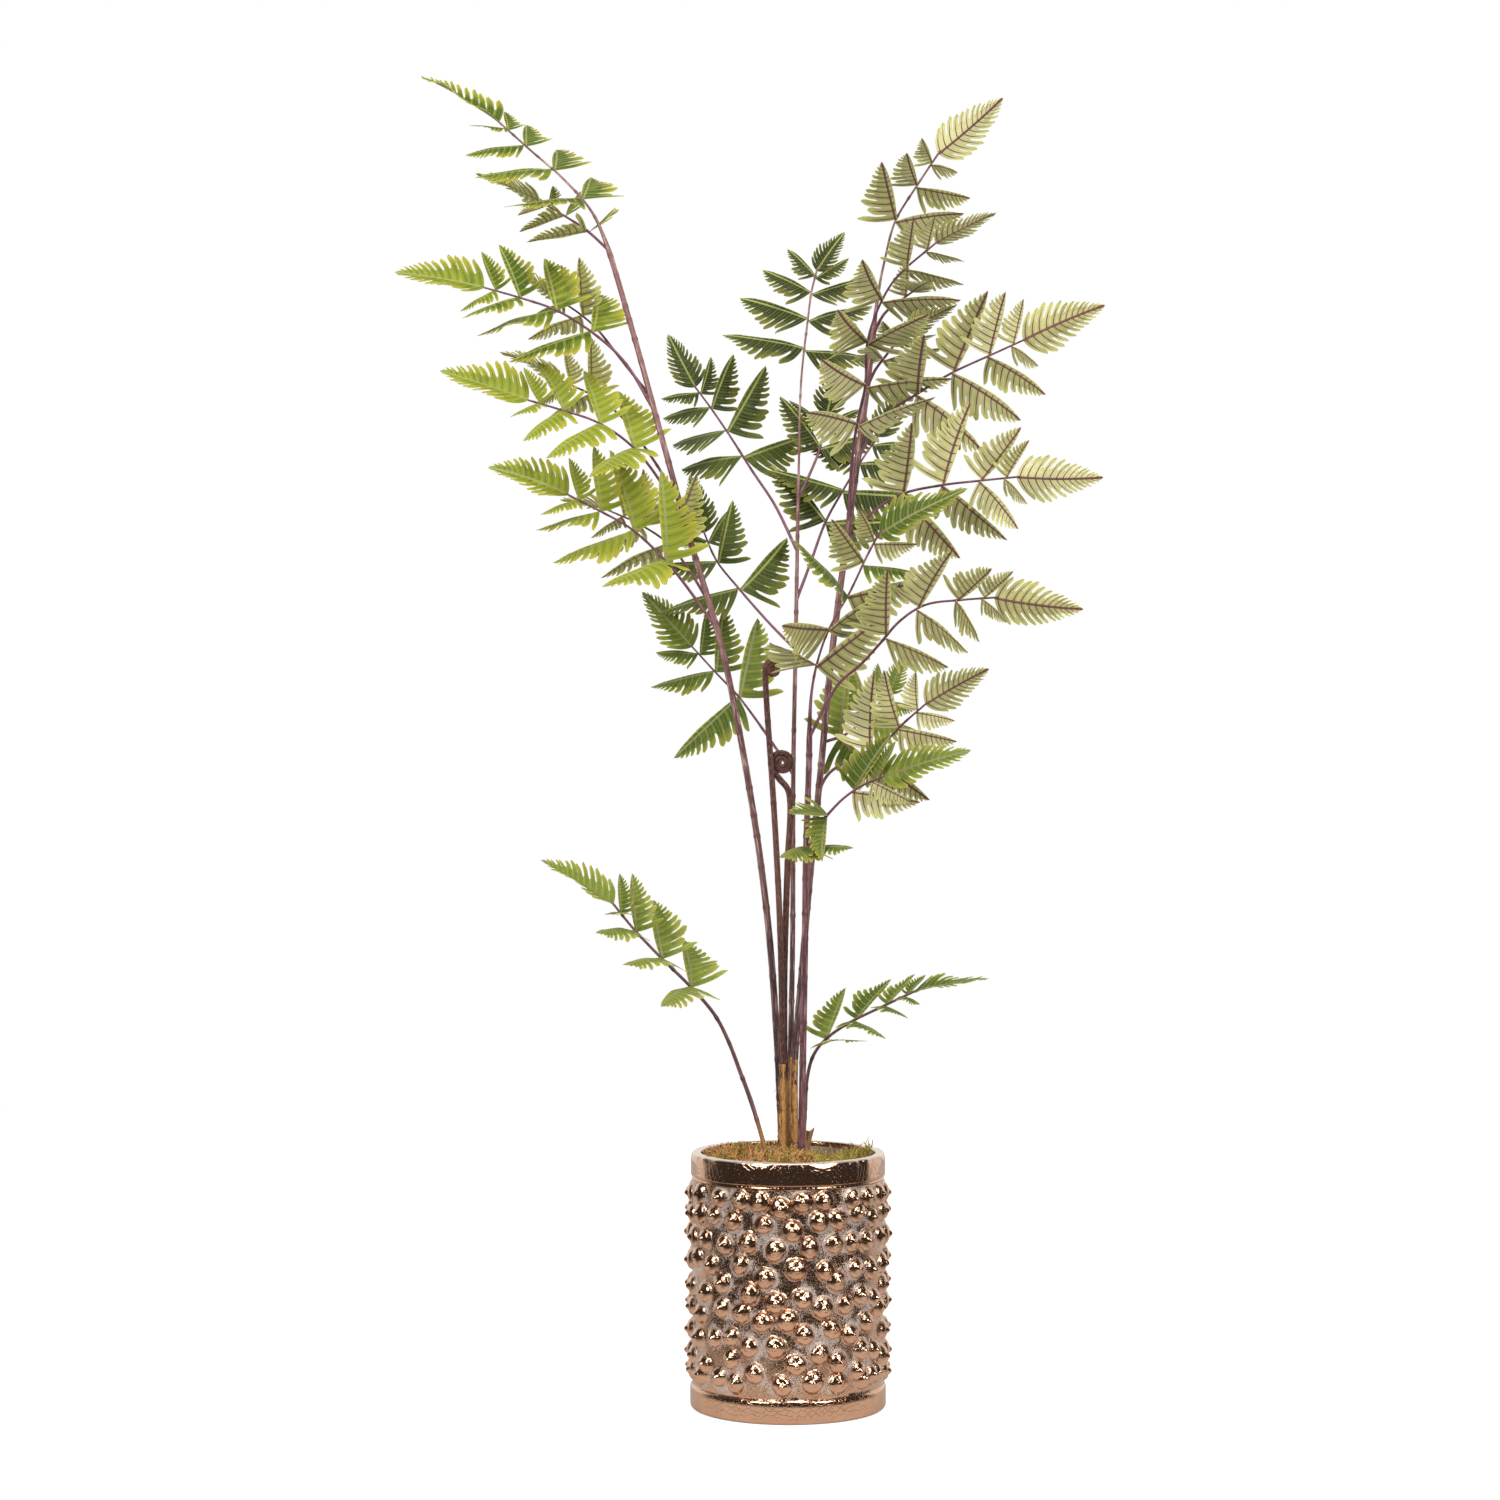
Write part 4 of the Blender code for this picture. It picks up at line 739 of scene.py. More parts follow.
# a placed leaf's bend, with shares of its length and angles in radians; each leaf draws its own
leafPlan = {"droop": 0.10, "waves": 9.0, "twist": 0.34, "endTwist": 0.5, "sickle": (-0.07, 0.12),
            "wave": (0.06, 0.17), "sideFold": 0.08}


def placeLeaf(template, root, along, face, length, towardsRoot, shape, finishes):
    # one leaf as a bent copy of a template, its midrib from root along the given way
    normal = perpendicular(Vector(face), along)
    across = normal.cross(along)
    mirrored = towardsRoot is not None and across.dot(towardsRoot) < 0
    if mirrored:
        across = -across
    mesh = template.data.copy()
    points = pointsOf(mesh)
    x, y, z = points[:, 0], points[:, 1], points[:, 2]
    turn = shape["twist"] * x
    y, z = y * numpy.cos(turn) - z * numpy.sin(turn), y * numpy.sin(turn) + z * numpy.cos(turn)
    y = y + shape["sickle"] * x * (1.0 - x)
    z = z + leafPlan["droop"] * x * (1.0 - x) if towardsRoot is None else z - leafPlan["droop"] * x * x
    z = z + shape["fold"] * numpy.abs(y)
    z = z + shape["wave"] * numpy.sin(x * leafPlan["waves"] + shape["phase"]) * numpy.abs(y)
    spots = numpy.array(root) + length * (x[:, None] * numpy.array(along) + y[:, None] * numpy.array(across)
                                          + z[:, None] * numpy.array(normal))
    setPoints(mesh, spots)
    if mirrored:
        mesh.flip_normals()
    markFloat(mesh, "tint", numpy.full(len(mesh.vertices), shape["tint"]))
    for place, finish in enumerate(finishes):
        mesh.materials[place] = finish
    return addObject("leaf", mesh)


def leafShape(fold, light, chance):
    return {"twist": chance.uniform(-leafPlan["twist"], leafPlan["twist"]),
            "sickle": chance.uniform(*leafPlan["sickle"]), "wave": chance.uniform(*leafPlan["wave"]),
            "phase": chance.uniform(0.0, 6.0), "fold": fold, "tint": chance.uniform(0.0, 1.0) + light}


def crownLeaves(route, crown, templates, finishes, chance):
    # the end leaf of a branch, then its leaflets from there down
    foot, _ = pointBeforeEnd(route, endSink)
    span = Vector(crown["tip"]) - foot
    shape = leafShape(crown["fold"], crown["light"], chance)
    shape["twist"] *= leafPlan["endTwist"]
    shape["sickle"] = crown["arch"] or shape["sickle"]
    template = templates["end"][chance.randrange(len(templates["end"]))]
    made = [placeLeaf(template, foot, span.normalized(), crown["face"], span.length, None, shape, finishes)]
    for side in ("left", "right"):
        for index, (angle, turn, *scale) in enumerate(crown[side]):
            face = crown[side + "Face"]
            if isinstance(face, list):
                face = face[index]
            distance = pairAt[index] * crown["spacing"] + (sideStep if side == "right" else 0.0)
            root, along = pointBeforeEnd(route, distance)
            viewer = perpendicular(Vector((0.0, -1.0, 0.0)), along)
            out = viewer.cross(along)
            if side == "right":
                out = -out
            lean = math.radians(turn)
            out = out * math.cos(lean) + viewer * math.sin(lean)
            away = math.radians(angle)
            way = along * math.cos(away) + out * math.sin(away)
            length = pairLength[index] * crown["size"] * (scale[0] if scale else 1.0)
            template = templates["side"][chance.randrange(len(templates["side"]))]
            shape = leafShape(leafPlan["sideFold"], crown["light"], chance)
            made.append(placeLeaf(template, root, way, face, length, -along, shape, finishes))
    return made


# Finishes of the plant
def leafFinish(name, plan):
    # Printed polyester leaf, heat-moulded: a satin sheet with soft colour bands from the veins
    # out to a paler edge, in clouds of about 18 mm. Its woven grain of 0.6 mm is drawn coarser
    # than the real one.
    material, tree, shader = newMaterial(name)
    side = addNode(tree, "ShaderNodeAttribute", attribute_name="veinSide").outputs["Fac"]
    way = addNode(tree, "ShaderNodeAttribute", attribute_name="lobeWay").outputs["Fac"]
    tint = addNode(tree, "ShaderNodeAttribute", attribute_name="tint").outputs["Fac"]
    place = addNode(tree, "ShaderNodeTexCoord").outputs["Object"]
    flat = addNode(tree, "ShaderNodeUVMap", uv_map="leafShape")
    split = addNode(tree, "ShaderNodeSeparateXYZ", {0: flat.outputs[0]})
    cloud = addNode(tree, "ShaderNodeTexNoise", {"Vector": place, "Scale": 55.0, "Detail": 3.0})
    toned = addNode(tree, "ShaderNodeMath", {0: tint, 1: 0.45, 2: -0.22}, operation="MULTIPLY_ADD")
    mixed = addNode(tree, "ShaderNodeMath", {0: cloud.outputs[0], 1: toned.outputs[0]}, operation="ADD")
    tone = addNode(tree, "ShaderNodeMapRange", {0: mixed.outputs[0], 1: 0.30, 2: 0.72})
    body = addNode(tree, "ShaderNodeMix", {0: tone.outputs[0], 6: plan["dark"], 7: plan["light"]},
                   data_type="RGBA")
    edge = addNode(tree, "ShaderNodeMapRange", {0: side, 1: 0.50, 2: 1.0, 4: plan["edgeShare"]})
    tip = addNode(tree, "ShaderNodeMapRange", {0: way, 1: 0.50, 2: 1.0, 4: plan["tipShare"]})
    margin = addNode(tree, "ShaderNodeMath", {0: edge.outputs[0], 1: tip.outputs[0]}, operation="ADD",
                     use_clamp=True)
    edged = addNode(tree, "ShaderNodeMix", {0: margin.outputs[0], 6: body.outputs[2], 7: plan["edge"]},
                    data_type="RGBA")
    veinWide = addNode(tree, "ShaderNodeMapRange",
                       {0: side, 1: plan["veinHalf"], 2: plan["veinHalf"] + 0.12, 3: 1.0, 4: 0.0})
    veinLong = addNode(tree, "ShaderNodeMapRange", {0: way, 1: 0.55, 2: 0.86, 3: plan["veinShare"], 4: 0.0})
    vein = addNode(tree, "ShaderNodeMath", {0: veinWide.outputs[0], 1: veinLong.outputs[0]},
                   operation="MULTIPLY")
    veined = addNode(tree, "ShaderNodeMix", {0: vein.outputs[0], 6: edged.outputs[2], 7: plan["vein"]},
                     data_type="RGBA")
    offMiddle = addNode(tree, "ShaderNodeMath", {0: split.outputs[1], 1: 0.5}, operation="SUBTRACT")
    apart = addNode(tree, "ShaderNodeMath", {0: offMiddle.outputs[0]}, operation="ABSOLUTE")
    middle = addNode(tree, "ShaderNodeMapRange", {0: apart.outputs[0], 1: 0.008, 2: 0.018, 3: 1.0, 4: 0.0})
    ribbed = addNode(tree, "ShaderNodeMix", {0: middle.outputs[0], 6: veined.outputs[2], 7: plan["rib"]},
                     data_type="RGBA")
    weave = addNode(tree, "ShaderNodeTexNoise", {"Vector": place, "Scale": 1600.0, "Detail": 1.0})
    relief = addNode(tree, "ShaderNodeMath", {0: veinWide.outputs[0], 1: plan["veinRelief"],
                                              2: weave.outputs[0]}, operation="MULTIPLY_ADD")
    bump = addNode(tree, "ShaderNodeBump", {"Strength": 0.55, "Distance": 0.0004,
                                            "Height": relief.outputs[0]})
    setInputs(tree, shader, {"Base Color": ribbed.outputs[2], "Normal": bump.outputs[0],
                             "Roughness": plan["roughness"], "Specular IOR Level": 0.16})
    return material


leafColours = {
    "brightTop": {"dark": "#3e5212", "light": "#7c8527", "edge": "#a8a137", "edgeShare": 0.40,
                  "tipShare": 0.80, "vein": "#556a20", "veinShare": 0.55, "rib": "#8b9355",
                  "veinRelief": -1.2, "roughness": 0.55, "veinHalf": 0.07},
    "darkTop": {"dark": "#242c12", "light": "#424e20", "edge": "#96923c", "edgeShare": 0.25,
                "tipShare": 0.50, "vein": "#5f6c30", "veinShare": 0.55, "rib": "#8f9550", "veinRelief": -1.2,
                "roughness": 0.52, "veinHalf": 0.07},
    "middleTop": {"dark": "#3f521a", "light": "#6f7b2e", "edge": "#aaa645", "edgeShare": 0.32,
                  "tipShare": 0.60, "vein": "#6b7836", "veinShare": 0.55, "rib": "#84825a",
                  "veinRelief": -1.2, "roughness": 0.55, "veinHalf": 0.07},
    "paleUnder": {"dark": "#a19e68", "light": "#c5c08e", "edge": "#c9c678", "edgeShare": 0.45,
                  "tipShare": 0.60, "vein": "#6f4446", "veinShare": 1.0, "rib": "#6b3f45", "veinRelief": 2.0,
                  "roughness": 0.62, "veinHalf": 0.09},
    # a darker, greener copy of the pale underside: painted shade for undersides that get less light
    "shadedUnder": {"dark": "#969857", "light": "#bfbd78", "edge": "#cdc96c", "edgeShare": 0.40,
                  "tipShare": 0.60, "vein": "#70484a", "veinShare": 0.95, "rib": "#6b4446",
                  "veinRelief": 2.0, "roughness": 0.60, "veinHalf": 0.09},
}
leafFinishes = {name: leafFinish("printedPolyester_" + name, plan) for name, plan in leafColours.items()}


# some stems are black low down or tan in the moss: in full up to the first height, and fading out
# to the second
footPaint = {"black": "#2c2224", "blackHeights": (0.36, 0.75), "tan": "#a8784a",
             "tanHeights": (0.312, 0.338)}


def rodFinish(name, plan):
    # Moulded polyethylene stem, painted and dry-brushed: long pale streaks over purple brown,
    # 2 mm wide and 24 mm long on the stems, with spatter of 0.8 mm, satin and a little rough
    material, tree, shader = newMaterial(name)
    place = addNode(tree, "ShaderNodeAttribute", attribute_name="rodPlace").outputs["Vector"]
    ring = addNode(tree, "ShaderNodeAttribute", attribute_name="ring").outputs["Fac"]
    drawn = addNode(tree, "ShaderNodeMapping", {0: place, 3: plan["streaks"]})
    streak = addNode(tree, "ShaderNodeTexNoise",
                     {"Vector": drawn.outputs[0], "Scale": 1.0, "Detail": 4.0, "Roughness": 0.6})
    # a dark or light stripe, 6 mm wide and 200 mm long, wanders along the rod under the fine streaks
    long = addNode(tree, "ShaderNodeMapping", {0: place, 3: (170.0, 170.0, 5.0)})
    stripe = addNode(tree, "ShaderNodeTexNoise", {"Vector": long.outputs[0], "Scale": 1.0, "Detail": 1.0})
    both = addNode(tree, "ShaderNodeMath", {0: streak.outputs[0], 1: stripe.outputs[0]}, operation="ADD")
    deep = addNode(tree, "ShaderNodeMapRange", {0: both.outputs[0], 1: 0.86, 2: 1.02, 3: 1.0, 4: 0.0})
    pale = addNode(tree, "ShaderNodeMapRange",
                   {0: streak.outputs[0], 1: 0.54, 2: 0.70, 4: plan["paleShare"]})
    spatter = addNode(tree, "ShaderNodeTexNoise", {"Vector": place, "Scale": plan["spatter"], "Detail": 2.0})
    dots = addNode(tree, "ShaderNodeMapRange",
                   {0: spatter.outputs[0], 1: 0.60, 2: 0.68, 4: plan["dotShare"]})
    darker = addNode(tree, "ShaderNodeMix", {0: deep.outputs[0], 6: plan["body"], 7: plan["dark"]},
                     data_type="RGBA")
    paler = addNode(tree, "ShaderNodeMix", {0: pale.outputs[0], 6: darker.outputs[2], 7: plan["pale"]},
                    data_type="RGBA")
    dotted = addNode(tree, "ShaderNodeMix", {0: dots.outputs[0], 6: paler.outputs[2], 7: plan["dots"]},
                     data_type="RGBA")
    ringShare = addNode(tree, "ShaderNodeMath", {0: ring, 1: 0.6}, operation="MULTIPLY")
    ringed = addNode(tree, "ShaderNodeMix", {0: ringShare.outputs[0], 6: dotted.outputs[2], 7: plan["ring"]},
                     data_type="RGBA")
    spot = addNode(tree, "ShaderNodeTexCoord").outputs["Object"]
    rise = addNode(tree, "ShaderNodeSeparateXYZ", {0: spot})
    blackFrom, blackTo = footPaint["blackHeights"]
    low = addNode(tree, "ShaderNodeMapRange", {0: rise.outputs[2], 1: blackFrom, 2: blackTo,
                                               3: plan.get("blackShare", 0.0), 4: 0.0})
    shaded = addNode(tree, "ShaderNodeMath", {0: low.outputs[0], 1: deep.outputs[0], 2: low.outputs[0]},
                     operation="MULTIPLY_ADD", use_clamp=True)
    footed = addNode(tree, "ShaderNodeMix", {0: shaded.outputs[0], 6: ringed.outputs[2],
                                             7: footPaint["black"]}, data_type="RGBA")
    tanFrom, tanTo = footPaint["tanHeights"]
    inMoss = addNode(tree, "ShaderNodeMapRange",
                     {0: rise.outputs[2], 1: tanFrom, 2: tanTo, 3: plan.get("tanShare", 0.0), 4: 0.0})
    tanned = addNode(tree, "ShaderNodeMix", {0: inMoss.outputs[0], 6: footed.outputs[2],
                                             7: footPaint["tan"]}, data_type="RGBA")
    both = addNode(tree, "ShaderNodeMath", {0: streak.outputs[0], 1: spatter.outputs[0]}, operation="ADD")
    bump = addNode(tree, "ShaderNodeBump", {"Strength": plan["bump"], "Distance": 0.0006,
                                            "Height": both.outputs[0]})
    setInputs(tree, shader, {"Base Color": tanned.outputs[2], "Normal": bump.outputs[0],
                             "Roughness": plan["roughness"], "Specular IOR Level": 0.4})
    return material


rodColours = {
    "purpleStem": {"body": "#7f5551", "dark": "#583531", "pale": "#c4a59d", "dots": "#cdb5b1",
                   "ring": "#5c3034", "blackShare": 0.42, "paleShare": 0.9, "dotShare": 0.55,
                   "streaks": (520.0, 520.0, 42.0), "spatter": 1300.0, "bump": 0.6, "roughness": 0.50},
    "redStem": {"body": "#7b4c50", "dark": "#523034", "pale": "#a98286", "dots": "#b89a98",
                "ring": "#4f2c30", "blackShare": 0.12, "paleShare": 0.8, "dotShare": 0.45,
                "streaks": (520.0, 520.0, 42.0), "spatter": 1300.0, "bump": 0.5, "roughness": 0.50},
    "purpleBranch": {"body": "#774754", "dark": "#55303b", "pale": "#9a6e7a", "dots": "#a98588",
                     "ring": "#4f2c33", "paleShare": 0.6, "dotShare": 0.25, "streaks": (700.0, 700.0, 60.0),
                     "spatter": 1500.0, "bump": 0.4, "roughness": 0.48},
    "lowStem": {"body": "#775350", "dark": "#583b39", "pale": "#997370", "dots": "#957472",
                "ring": "#3d2628", "tanShare": 0.9, "paleShare": 0.6, "dotShare": 0.25,
                "streaks": (700.0, 700.0, 60.0), "spatter": 1500.0, "bump": 0.4, "roughness": 0.48},
    "coirWrap": {"body": "#bb8850", "dark": "#604229", "pale": "#d3a468", "dots": "#2e2622",
                 "ring": "#3d2a20", "paleShare": 0.9, "dotShare": 0.85, "streaks": (420.0, 420.0, 60.0),
                 "spatter": 620.0, "bump": 1.0, "roughness": 0.90},
    "brownFuzz": {"body": "#694339", "dark": "#452b26", "pale": "#8a6559", "dots": "#957468",
                  "ring": "#442c27", "paleShare": 0.7, "dotShare": 0.50, "streaks": (600.0, 600.0, 160.0),
                  "spatter": 1400.0, "bump": 1.0, "roughness": 0.85},
    "greenRib": {"body": "#858b52", "dark": "#5f6638", "pale": "#a3a66c", "dots": "#a3a66c",
                 "ring": "#5f6638", "paleShare": 0.6, "dotShare": 0.2, "streaks": (900.0, 900.0, 90.0),
                 "spatter": 1500.0, "bump": 0.3, "roughness": 0.50},
    "brownRib": {"body": "#77504d", "dark": "#593638", "pale": "#93706a", "dots": "#93706a",
                 "ring": "#593638", "paleShare": 0.5, "dotShare": 0.2, "streaks": (900.0, 900.0, 90.0),
                 "spatter": 1500.0, "bump": 0.3, "roughness": 0.50},
    "cutWood": {"body": "#93704c", "dark": "#54402d", "pale": "#bda07a", "dots": "#cbb08c",
                "ring": "#4b3524", "paleShare": 0.8, "dotShare": 0.6, "streaks": (420.0, 420.0, 60.0),
                "spatter": 900.0, "bump": 1.0, "roughness": 0.85},
}
rodFinishes = {name: rodFinish(name, plan) for name, plan in rodColours.items()}
print("finishes of leaves and stems are made")


# Rods with their own place map
def nearestOf(points, line):
    # for each point, which of the line's points is nearest
    return numpy.argmin(((points[:, None, :] - line[None, :, :]) ** 2).sum(axis=2), axis=1)


def markRod(rod, route, rings):
    # rodPlace is a vertex's place on the same rod drawn straight, and ring marks its node rings
    mesh = rod.data
    points = pointsOf(mesh)
    line = numpy.array([tuple(point) for point in route])
    lengths = numpy.concatenate([[0.0], numpy.cumsum(numpy.linalg.norm(numpy.diff(line, axis=0), axis=1))])
    nearest = nearestOf(points, line)
    along = numpy.gradient(line, axis=0)
    along /= numpy.linalg.norm(along, axis=1)[:, None]
    sideways = numpy.cross(along, numpy.array([0.0, -1.0, 0.0]))
    sideways /= numpy.maximum(numpy.linalg.norm(sideways, axis=1)[:, None], 0.0001)
    across = numpy.cross(along, sideways)
    offset = points - line[nearest]
    spots = numpy.stack([(offset * sideways[nearest]).sum(axis=1), (offset * across[nearest]).sum(axis=1),
                         lengths[nearest]], axis=1)
    place = mesh.attributes.new("rodPlace", "FLOAT_VECTOR", "POINT")
    place.data.foreach_set("vector", numpy.ascontiguousarray(spots).ravel())
    markFloat(mesh, "ring", numpy.array(rings)[nearest])


def ringedRadii(route, radii, nodes, height):
    # swells the rod a little at each node, and says how near each point is to one
    passed, rings, swollen = 0.0, [], []
    for index, (point, radius) in enumerate(zip(route, radii)):
        passed += (point - route[index - 1]).length if index else 0.0
        near = max([math.exp(-((passed - node) / stemPlan["ringLength"]) ** 2) for node in nodes] or [0.0])
        rings.append(near)
        swollen.append(radius + height * near)
    return swollen, rings


def nodesAlong(length, first, gap, chance):
    # places along a rod for its node rings
    nodes, place = [], first
    while place < length:
        nodes.append(place)
        place += chance.uniform(*gap)
    return nodes


def routeLength(route):
    return sum((after - before).length for before, after in zip(route, route[1:]))


def hairs(strands, name, finish):
    # three-sided tapered hairs as one mesh; a strand is its points and its radius
    points, faces = [], []
    for line, radius in strands:
        first = len(points)
        for index, spot in enumerate(line[:-1]):
            along = (line[index + 1] - spot).normalized()
            sideways = along.orthogonal().normalized()
            across = along.cross(sideways)
            for corner in range(3):
                turn = 2 * math.pi * corner / 3
                points.append(spot + (sideways * math.cos(turn) + across * math.sin(turn))
                              * radius * (1.0 - 0.5 * index / len(line)))
        points.append(line[-1])
        last = len(points) - 1
        faces.append((first + 2, first + 1, first))
        for index in range(len(line) - 2):
            low = first + 3 * index
            for corner in range(3):
                after = (corner + 1) % 3
                faces.append((low + corner, low + after, low + 3 + after, low + 3 + corner))
        for corner in range(3):
            faces.append((last - 3 + corner, last - 3 + (corner + 1) % 3, last))
    mesh = bpy.data.meshes.new(name)
    mesh.from_pydata(points, [], faces)
    mesh.materials.append(finish)
    made = addObject(name, mesh)
    selectOnly([made])
    bpy.ops.object.shade_smooth()
    return made


def unitVector(chance):
    # an even random direction: places in a cube until one is inside the ball
    while True:
        spot = Vector((chance.uniform(-1, 1), chance.uniform(-1, 1), chance.uniform(-1, 1)))
        if 0.1 < spot.length < 1.0:
            return spot.normalized()


# Fronds
stemPlan = {
    "step": 0.004, "branchStep": 0.006, "branchRadii": (0.0019, 0.0011), "tip": 0.0012, "thinning": 0.030,
    # node rings: the first one's distance from the foot, and the gaps after it
    "firstNode": 0.075, "nodeGap": (0.018, 0.052), "nodeHeight": 0.0006, "ringLength": 0.0016,
    "branchNode": 0.02, "branchGap": (0.02, 0.05), "branchHeight": 0.0003,
}
wrapPlan = {
    "bottom": 0.262, "radius": 0.0046, "waviness": 0.10, "taper": 0.16, "lumps": 0.14,
    "tops": {"frond_left": 0.388, "frond_back": 0.399, "frond_right": 0.404,
             "fiddlehead_tall": 0.392, "fiddlehead_short": 0.380},
    "fibres": 26, "fibreLength": 0.008, "fibreRadius": 0.00022,
}


def stemRoute(plan):
    x, y = plan["foot"]
    feet = [(x, y, footBottom), (x, y, footShoulder), (x, y, footTop)]
    return smoothRoute(feet + plan["route"], stemPlan["step"])


def wrapAround(route, name, chance):
    # fibre wound on the foot, ragged at its upper end
    part = [point for point in route if wrapPlan["bottom"] < point.z < wrapPlan["tops"][name]]
    radii = []
    for index, point in enumerate(part):
        share = index / (len(part) - 1)
        wavy = 0.93 + wrapPlan["waviness"] * noise.noise(point * 120.0)
        radii.append(wrapPlan["radius"] * wavy * (1.0 - wrapPlan["taper"] * share ** 4))
    wrap = rodAlong(part, radii, name, 6)
    markRod(wrap, part, [0.0] * len(part))
    points = pointsOf(wrap.data)
    lumps = numpy.array([noise.noise(Vector(spot) * 420.0) for spot in points])
    line = numpy.array([tuple(point) for point in part])
    away = points - line[nearestOf(points, line)]
    setPoints(wrap.data, points + away * (wrapPlan["lumps"] * lumps)[:, None])
    wrap.data.materials.append(rodFinishes["coirWrap"])
    strands = []
    for _ in range(wrapPlan["fibres"]):
        point = part[chance.randrange(len(part) // 4, len(part))]
        angle = chance.uniform(0, 2 * math.pi)
        out = Vector((math.cos(angle), math.sin(angle), 0.0))
        spot = point + out * wrapPlan["radius"] * 0.85
        upOrDown = Vector((0, 0, chance.choice((1.0, -0.6))))
        way = (out * 0.35 + upOrDown + unitVector(chance) * 0.35).normalized()
        length = wrapPlan["fibreLength"] * chance.uniform(0.4, 1.0)
        bowed = spot + way * length * 0.5 + out * length * 0.10
        strands.append(([spot, bowed, spot + way * length], wrapPlan["fibreRadius"]))
    return joinAll([wrap, hairs(strands, name, rodFinishes["coirWrap"])], name)


def branchRod(path, name, finish, chance):
    thick, thin = stemPlan["branchRadii"]
    last = len(path) - 1
    radii = [thick + (thin - thick) * index / last for index in range(last + 1)]
    nodes = nodesAlong(routeLength(path), stemPlan["branchNode"], stemPlan["branchGap"], chance)
    radii, rings = ringedRadii(path, radii, nodes, stemPlan["branchHeight"])
    rod = rodAlong(path, radii, name, 2)
    markRod(rod, path, rings)
    rod.data.materials.append(finish)
    return rod


def makeFrond(name, plan, look, templates):
    chance = random.Random(name)
    finishes = [leafFinishes[look["top"]], leafFinishes[look["under"]], rodFinishes[look["rib"]]]
    route = stemRoute(plan)
    thick, thin = plan["radii"]
    total = len(route) - 1
    # thick up to the highest branch, and thin from there
    crest = max([item["route"][0][2] for item in plan["branches"]] or [0.0])
    radii = []
    for index, point in enumerate(route):
        if point.z < crest:
            radii.append(thick + (look["upper"] - thick) * (point.z - footBottom) / (crest - footBottom))
        elif crest:
            fade = math.exp(-(point.z - crest) / stemPlan["thinning"])
            radii.append(stemPlan["tip"] + (look["upper"] - stemPlan["tip"]) * fade)
        else:
            radii.append(thick + (thin - thick) * index / total)
    nodes = nodesAlong(routeLength(route), stemPlan["firstNode"], stemPlan["nodeGap"], chance)
    radii, rings = ringedRadii(route, radii, nodes, stemPlan["nodeHeight"])
    stem = rodAlong(route, radii, name, 4)
    markRod(stem, route, rings)
    stem.data.materials.append(rodFinishes[look["stem"]])
    parts = [stem] + crownLeaves(route, plan["crown"], templates, finishes, chance)
    if plan["wrapped"]:
        parts.append(wrapAround(route, name, chance))
    for item in plan["branches"]:
        points = [Vector(point) for point in item["route"]]
        path = smoothRoute([nearestOn(route, points[0])] + points[1:], stemPlan["branchStep"])
        parts.append(branchRod(path, name, rodFinishes[look["branch"]], chance))
        otherTop = item["crown"]["top"]
        topped = [leafFinishes[otherTop]] + finishes[1:] if otherTop else finishes
        parts += crownLeaves(path, item["crown"], templates, topped, chance)
    frond = joinAll(parts, name + "_leaves")
    keepPiece(frond, [name])
    return frond


templates = {"side": [makeBlade(sideBlade, False, seed, f"sideLeaf{seed}") for seed in (1, 2, 3)],
             "end": [makeBlade(endBlade, True, seed, f"endLeaf{seed}") for seed in (4, 5, 6)]}
for kind, made in templates.items():
    print("a", kind, "leaf has", triangleCount(made[0]), "triangles")

frondLooks = {
    "frond_left": {"top": "brightTop", "under": "shadedUnder", "stem": "purpleStem", "branch": "purpleBranch",
                   "rib": "greenRib", "upper": 0.0032},
    "frond_back": {"top": "darkTop", "under": "shadedUnder", "stem": "purpleStem", "branch": "purpleBranch",
                   "rib": "greenRib", "upper": 0.0021},
    "frond_right": {"top": "middleTop", "under": "paleUnder", "stem": "purpleStem", "branch": "purpleBranch",
                    "rib": "brownRib", "upper": 0.0037},
    "frond_front": {"top": "middleTop", "under": "paleUnder", "stem": "redStem", "branch": "purpleBranch",
                    "rib": "brownRib", "upper": 0.0034},
    "frond_low_left": {"top": "middleTop", "under": "paleUnder", "stem": "lowStem", "branch": "purpleBranch",
                       "rib": "greenRib"},
    "frond_low_right": {"top": "middleTop", "under": "shadedUnder", "stem": "lowStem",
                        "branch": "purpleBranch", "rib": "greenRib"},
}
for name, plan in frondLayout.items():
    frond = makeFrond(name, plan, frondLooks[name], templates)
    print(name, "has", triangleCount(frond), "triangles")
for made in templates["side"] + templates["end"]:
    bpy.data.objects.remove(made, do_unlink=True)


# Fiddleheads and the stub
coilPlan = {"start": 200.0, "turns": 2.3, "inner": 0.0014, "endRadius": 0.0019, "thinning": 1.4,
            "points": 70, "firstNode": 0.12, "nodeGap": (0.03, 0.06), "nodeHeight": 0.0003,
            "hairLength": 0.0016, "hairRadius": 0.00016, "hairCount": 900}


